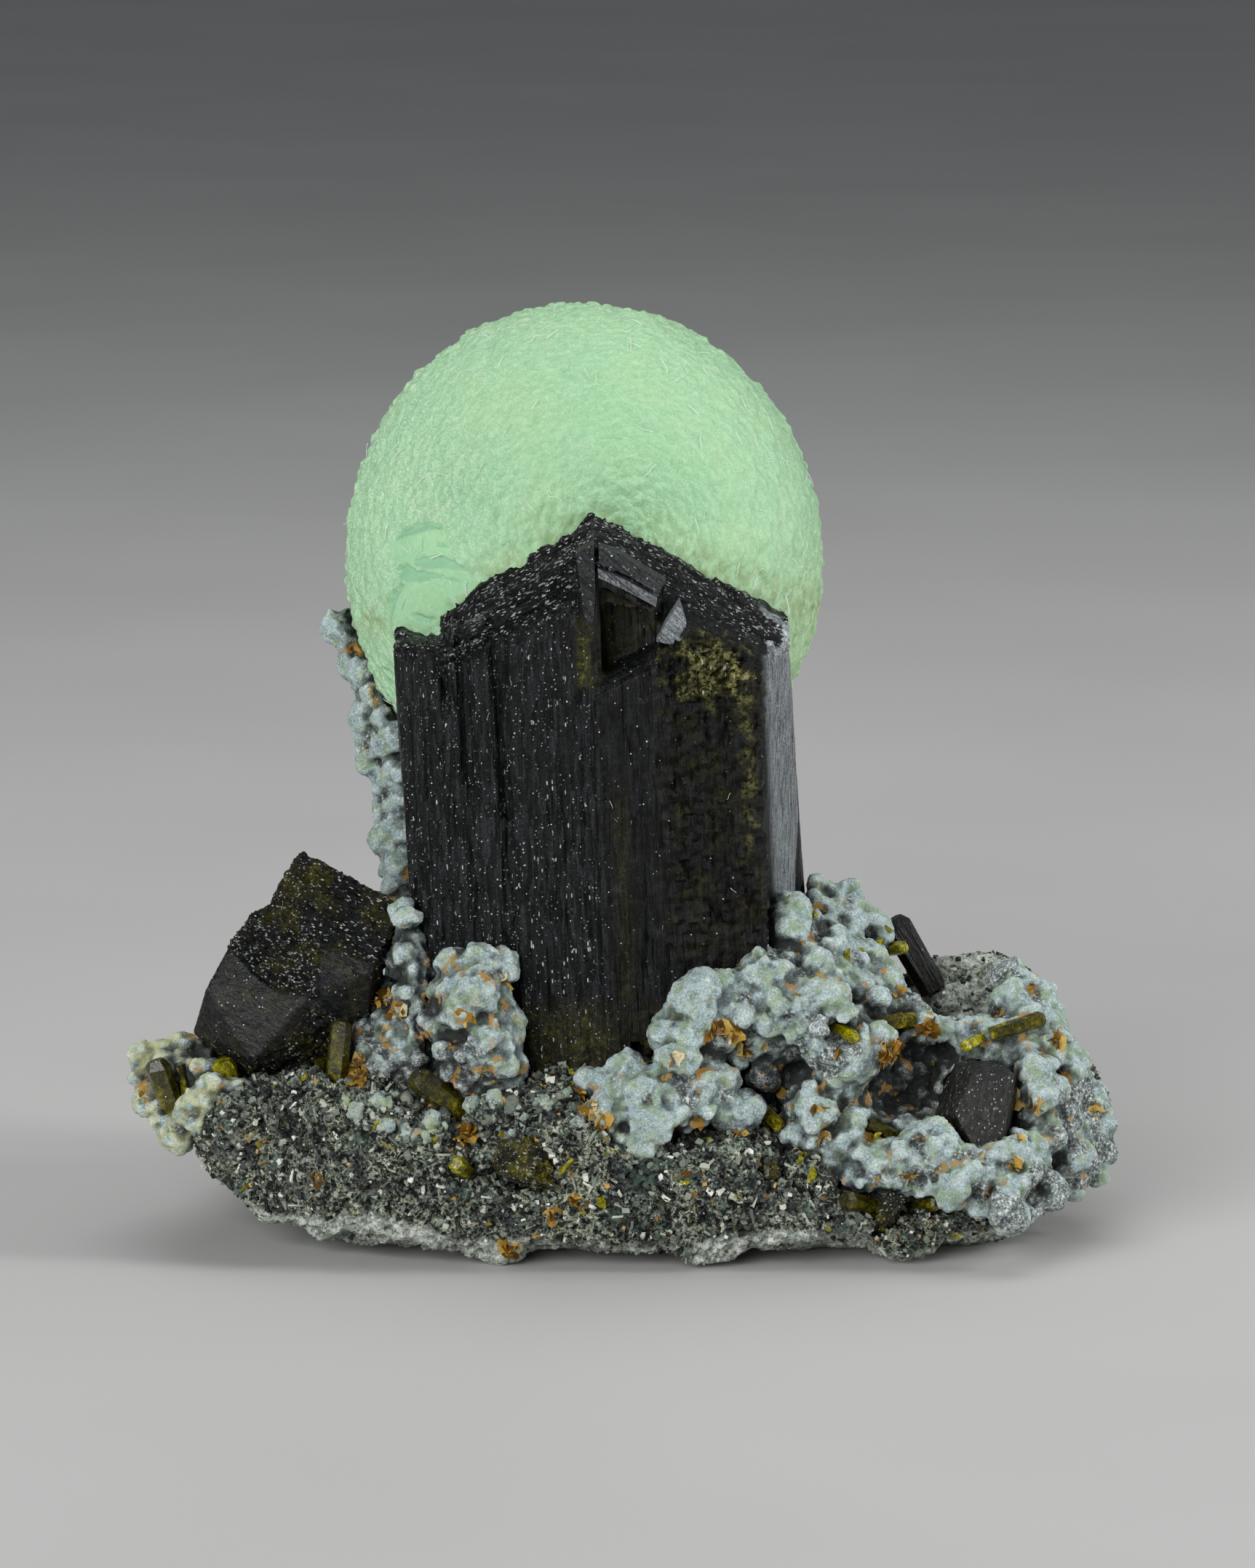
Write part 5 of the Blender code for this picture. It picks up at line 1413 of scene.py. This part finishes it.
def make_lint(grounds):
    for name, ground, number, longest, seed in grounds:
        copy = add_piece("ground", ground.data.copy())
        points, out = places(copy.data), normals(copy.data)
        store(copy.data, "bare", (out[:, 1] < -0.1).astype(float))
        lint = strew(name, copy, FIBRES, LINT, per_mm2=number, smallest=0.15, largest=longest,
                     tumble=0.35, seed=seed)
        bpy.data.objects.remove(copy)
        finish(lint, LINT, "prehnite")


# Studio.

def make_studio():
    bm = bmesh.new()
    bmesh.ops.create_grid(bm, x_segments=1, y_segments=1, size=3.0)
    floor = add_piece("floor", mesh_of(bm, "floor"))
    material, tree, shader, where = new_material("pale_floor", Roughness=0.6)
    tone = ramp(tree, speckle(tree, where, 60.0), [(0.3, srgb(190, 190, 188)), (0.7, srgb(196, 196, 194))])
    wear(tree, shader, Base_Color=tone)
    floor.data.materials.append(material)
    world = bpy.data.worlds.new("studio")
    bpy.context.scene.world = world
    world.use_nodes = True
    world.node_tree.nodes["Background"].inputs["Color"].default_value = (0.9, 0.95, 1.0, 1)
    world.node_tree.nodes["Background"].inputs["Strength"].default_value = 0.14
    for name, energy, wide, high, position in (
            ("key_light", 3.9, 0.5, 0.36, (-0.3, -0.54, 0.26)),
            ("side_light", 1.5, 0.08, 0.4, (0.42, -0.06, 0.16)),
            ("top_light", 0.8, 0.4, 0.25, (0.0, 0.14, 0.45))):
        light = bpy.data.lights.new(name, "AREA")
        light.shape = "RECTANGLE"
        light.energy = energy
        light.size, light.size_y = wide, high
        obj = bpy.data.objects.new(name, light)
        obj.location = position
        obj.rotation_euler = (Vector((0, 0, 0.03)) - Vector(position)).to_track_quat("-Z", "Y").to_euler()
        bpy.context.scene.collection.objects.link(obj)
    bpy.context.scene.view_settings.view_transform = "Standard"


def make_camera():
    camera = bpy.data.cameras.new("camera")
    camera.sensor_width = SENSOR
    camera.lens = SENSOR * VIEW_RANGE / VIEW_HEIGHT
    camera.clip_start = 0.01
    obj = bpy.data.objects.new("camera", camera)
    back = Vector((0, -math.cos(VIEW_TILT), math.sin(VIEW_TILT))) * VIEW_RANGE
    obj.location = (VIEW_AIM + back) * MM
    obj.rotation_euler = (math.pi / 2 - VIEW_TILT, 0, 0)
    bpy.context.scene.collection.objects.link(obj)
    bpy.context.scene.camera = obj


DARK = epidote_skin("dark_epidote", srgb(24, 25, 26), srgb(70, 68, 24), (0.3, 0.46))
DARK_LEFT = epidote_skin("smoky_epidote", srgb(23, 24, 24), srgb(78, 75, 22), (0.2, 0.36), dash=1.5,
                         Specular_IOR_Level=0.1)
DARK_TABULAR = epidote_skin("block_epidote", srgb(22, 23, 23), srgb(70, 68, 30), (0.22, 0.36), 0.05,
                           Specular_IOR_Level=0.17)
OLIVE = epidote_skin("olive_epidote", srgb(30, 29, 4), srgb(132, 124, 4), (0.06, 0.14), 0.01, 0.85,
                     Specular_IOR_Level=0.28)
YELLOW = epidote_skin("yellow_epidote", srgb(120, 116, 6), srgb(184, 176, 16), (0.06, 0.14), 0.01, 0.85,
                      Specular_IOR_Level=0.28)
CRUST = crust_skin()
ROCK = rock_skin()
GRAIN = grain_skin("rock_grains", [
    (0.0, srgb(16, 18, 17)), (0.26, srgb(46, 51, 48)), (0.44, srgb(88, 96, 88)), (0.62, srgb(132, 140, 128)),
    (0.78, srgb(178, 184, 168)), (0.90, srgb(226, 228, 216)), (0.965, srgb(198, 152, 78)),
    (0.985, srgb(126, 122, 40))], 0.4)
OCHRE = grain_skin("ochre_flakes", [
    (0.0, srgb(138, 98, 30)), (0.24, srgb(196, 152, 56)), (0.5, srgb(226, 188, 90)),
    (0.75, srgb(242, 214, 132)), (0.92, srgb(252, 240, 200))], 0.4)
LINT = grain_skin("lint", [(0.0, srgb(222, 232, 222)), (0.5, srgb(240, 244, 240))], 0.6)
BUDS = stock("buds", bud_shapes())
GRAINS = stock("grains", grain_shapes())
FLAKES = stock("flakes", flake_shapes())
TINY = stock("tiny_prisms", tiny_prisms())
FIBRES = stock("fibres", fibre_shapes())

ball = make_ball()
main_crystal = make_main_crystal()
make_plates()
make_left_crystal()
make_tabular_crystal()
make_prisms()
crusts = [make_crust(name) for name in sorted(NODES) if name.startswith("crust_")]
rock = make_rock()
make_grains(rock, crusts + [main_crystal])
make_flakes(crusts + [rock, main_crystal])
make_rock_lumps(rock)
make_tiny_crystals([("tiny_prisms_on_crust", crusts[-1], 0.035, 3), ("tiny_prisms_on_rock", rock, 0.03, 7)])
make_lint([("lint_on_ball", ball, 0.4, 0.65, 5), ("lint_on_crystal", main_crystal, 0.014, 0.32, 6)])
make_studio()
make_camera()
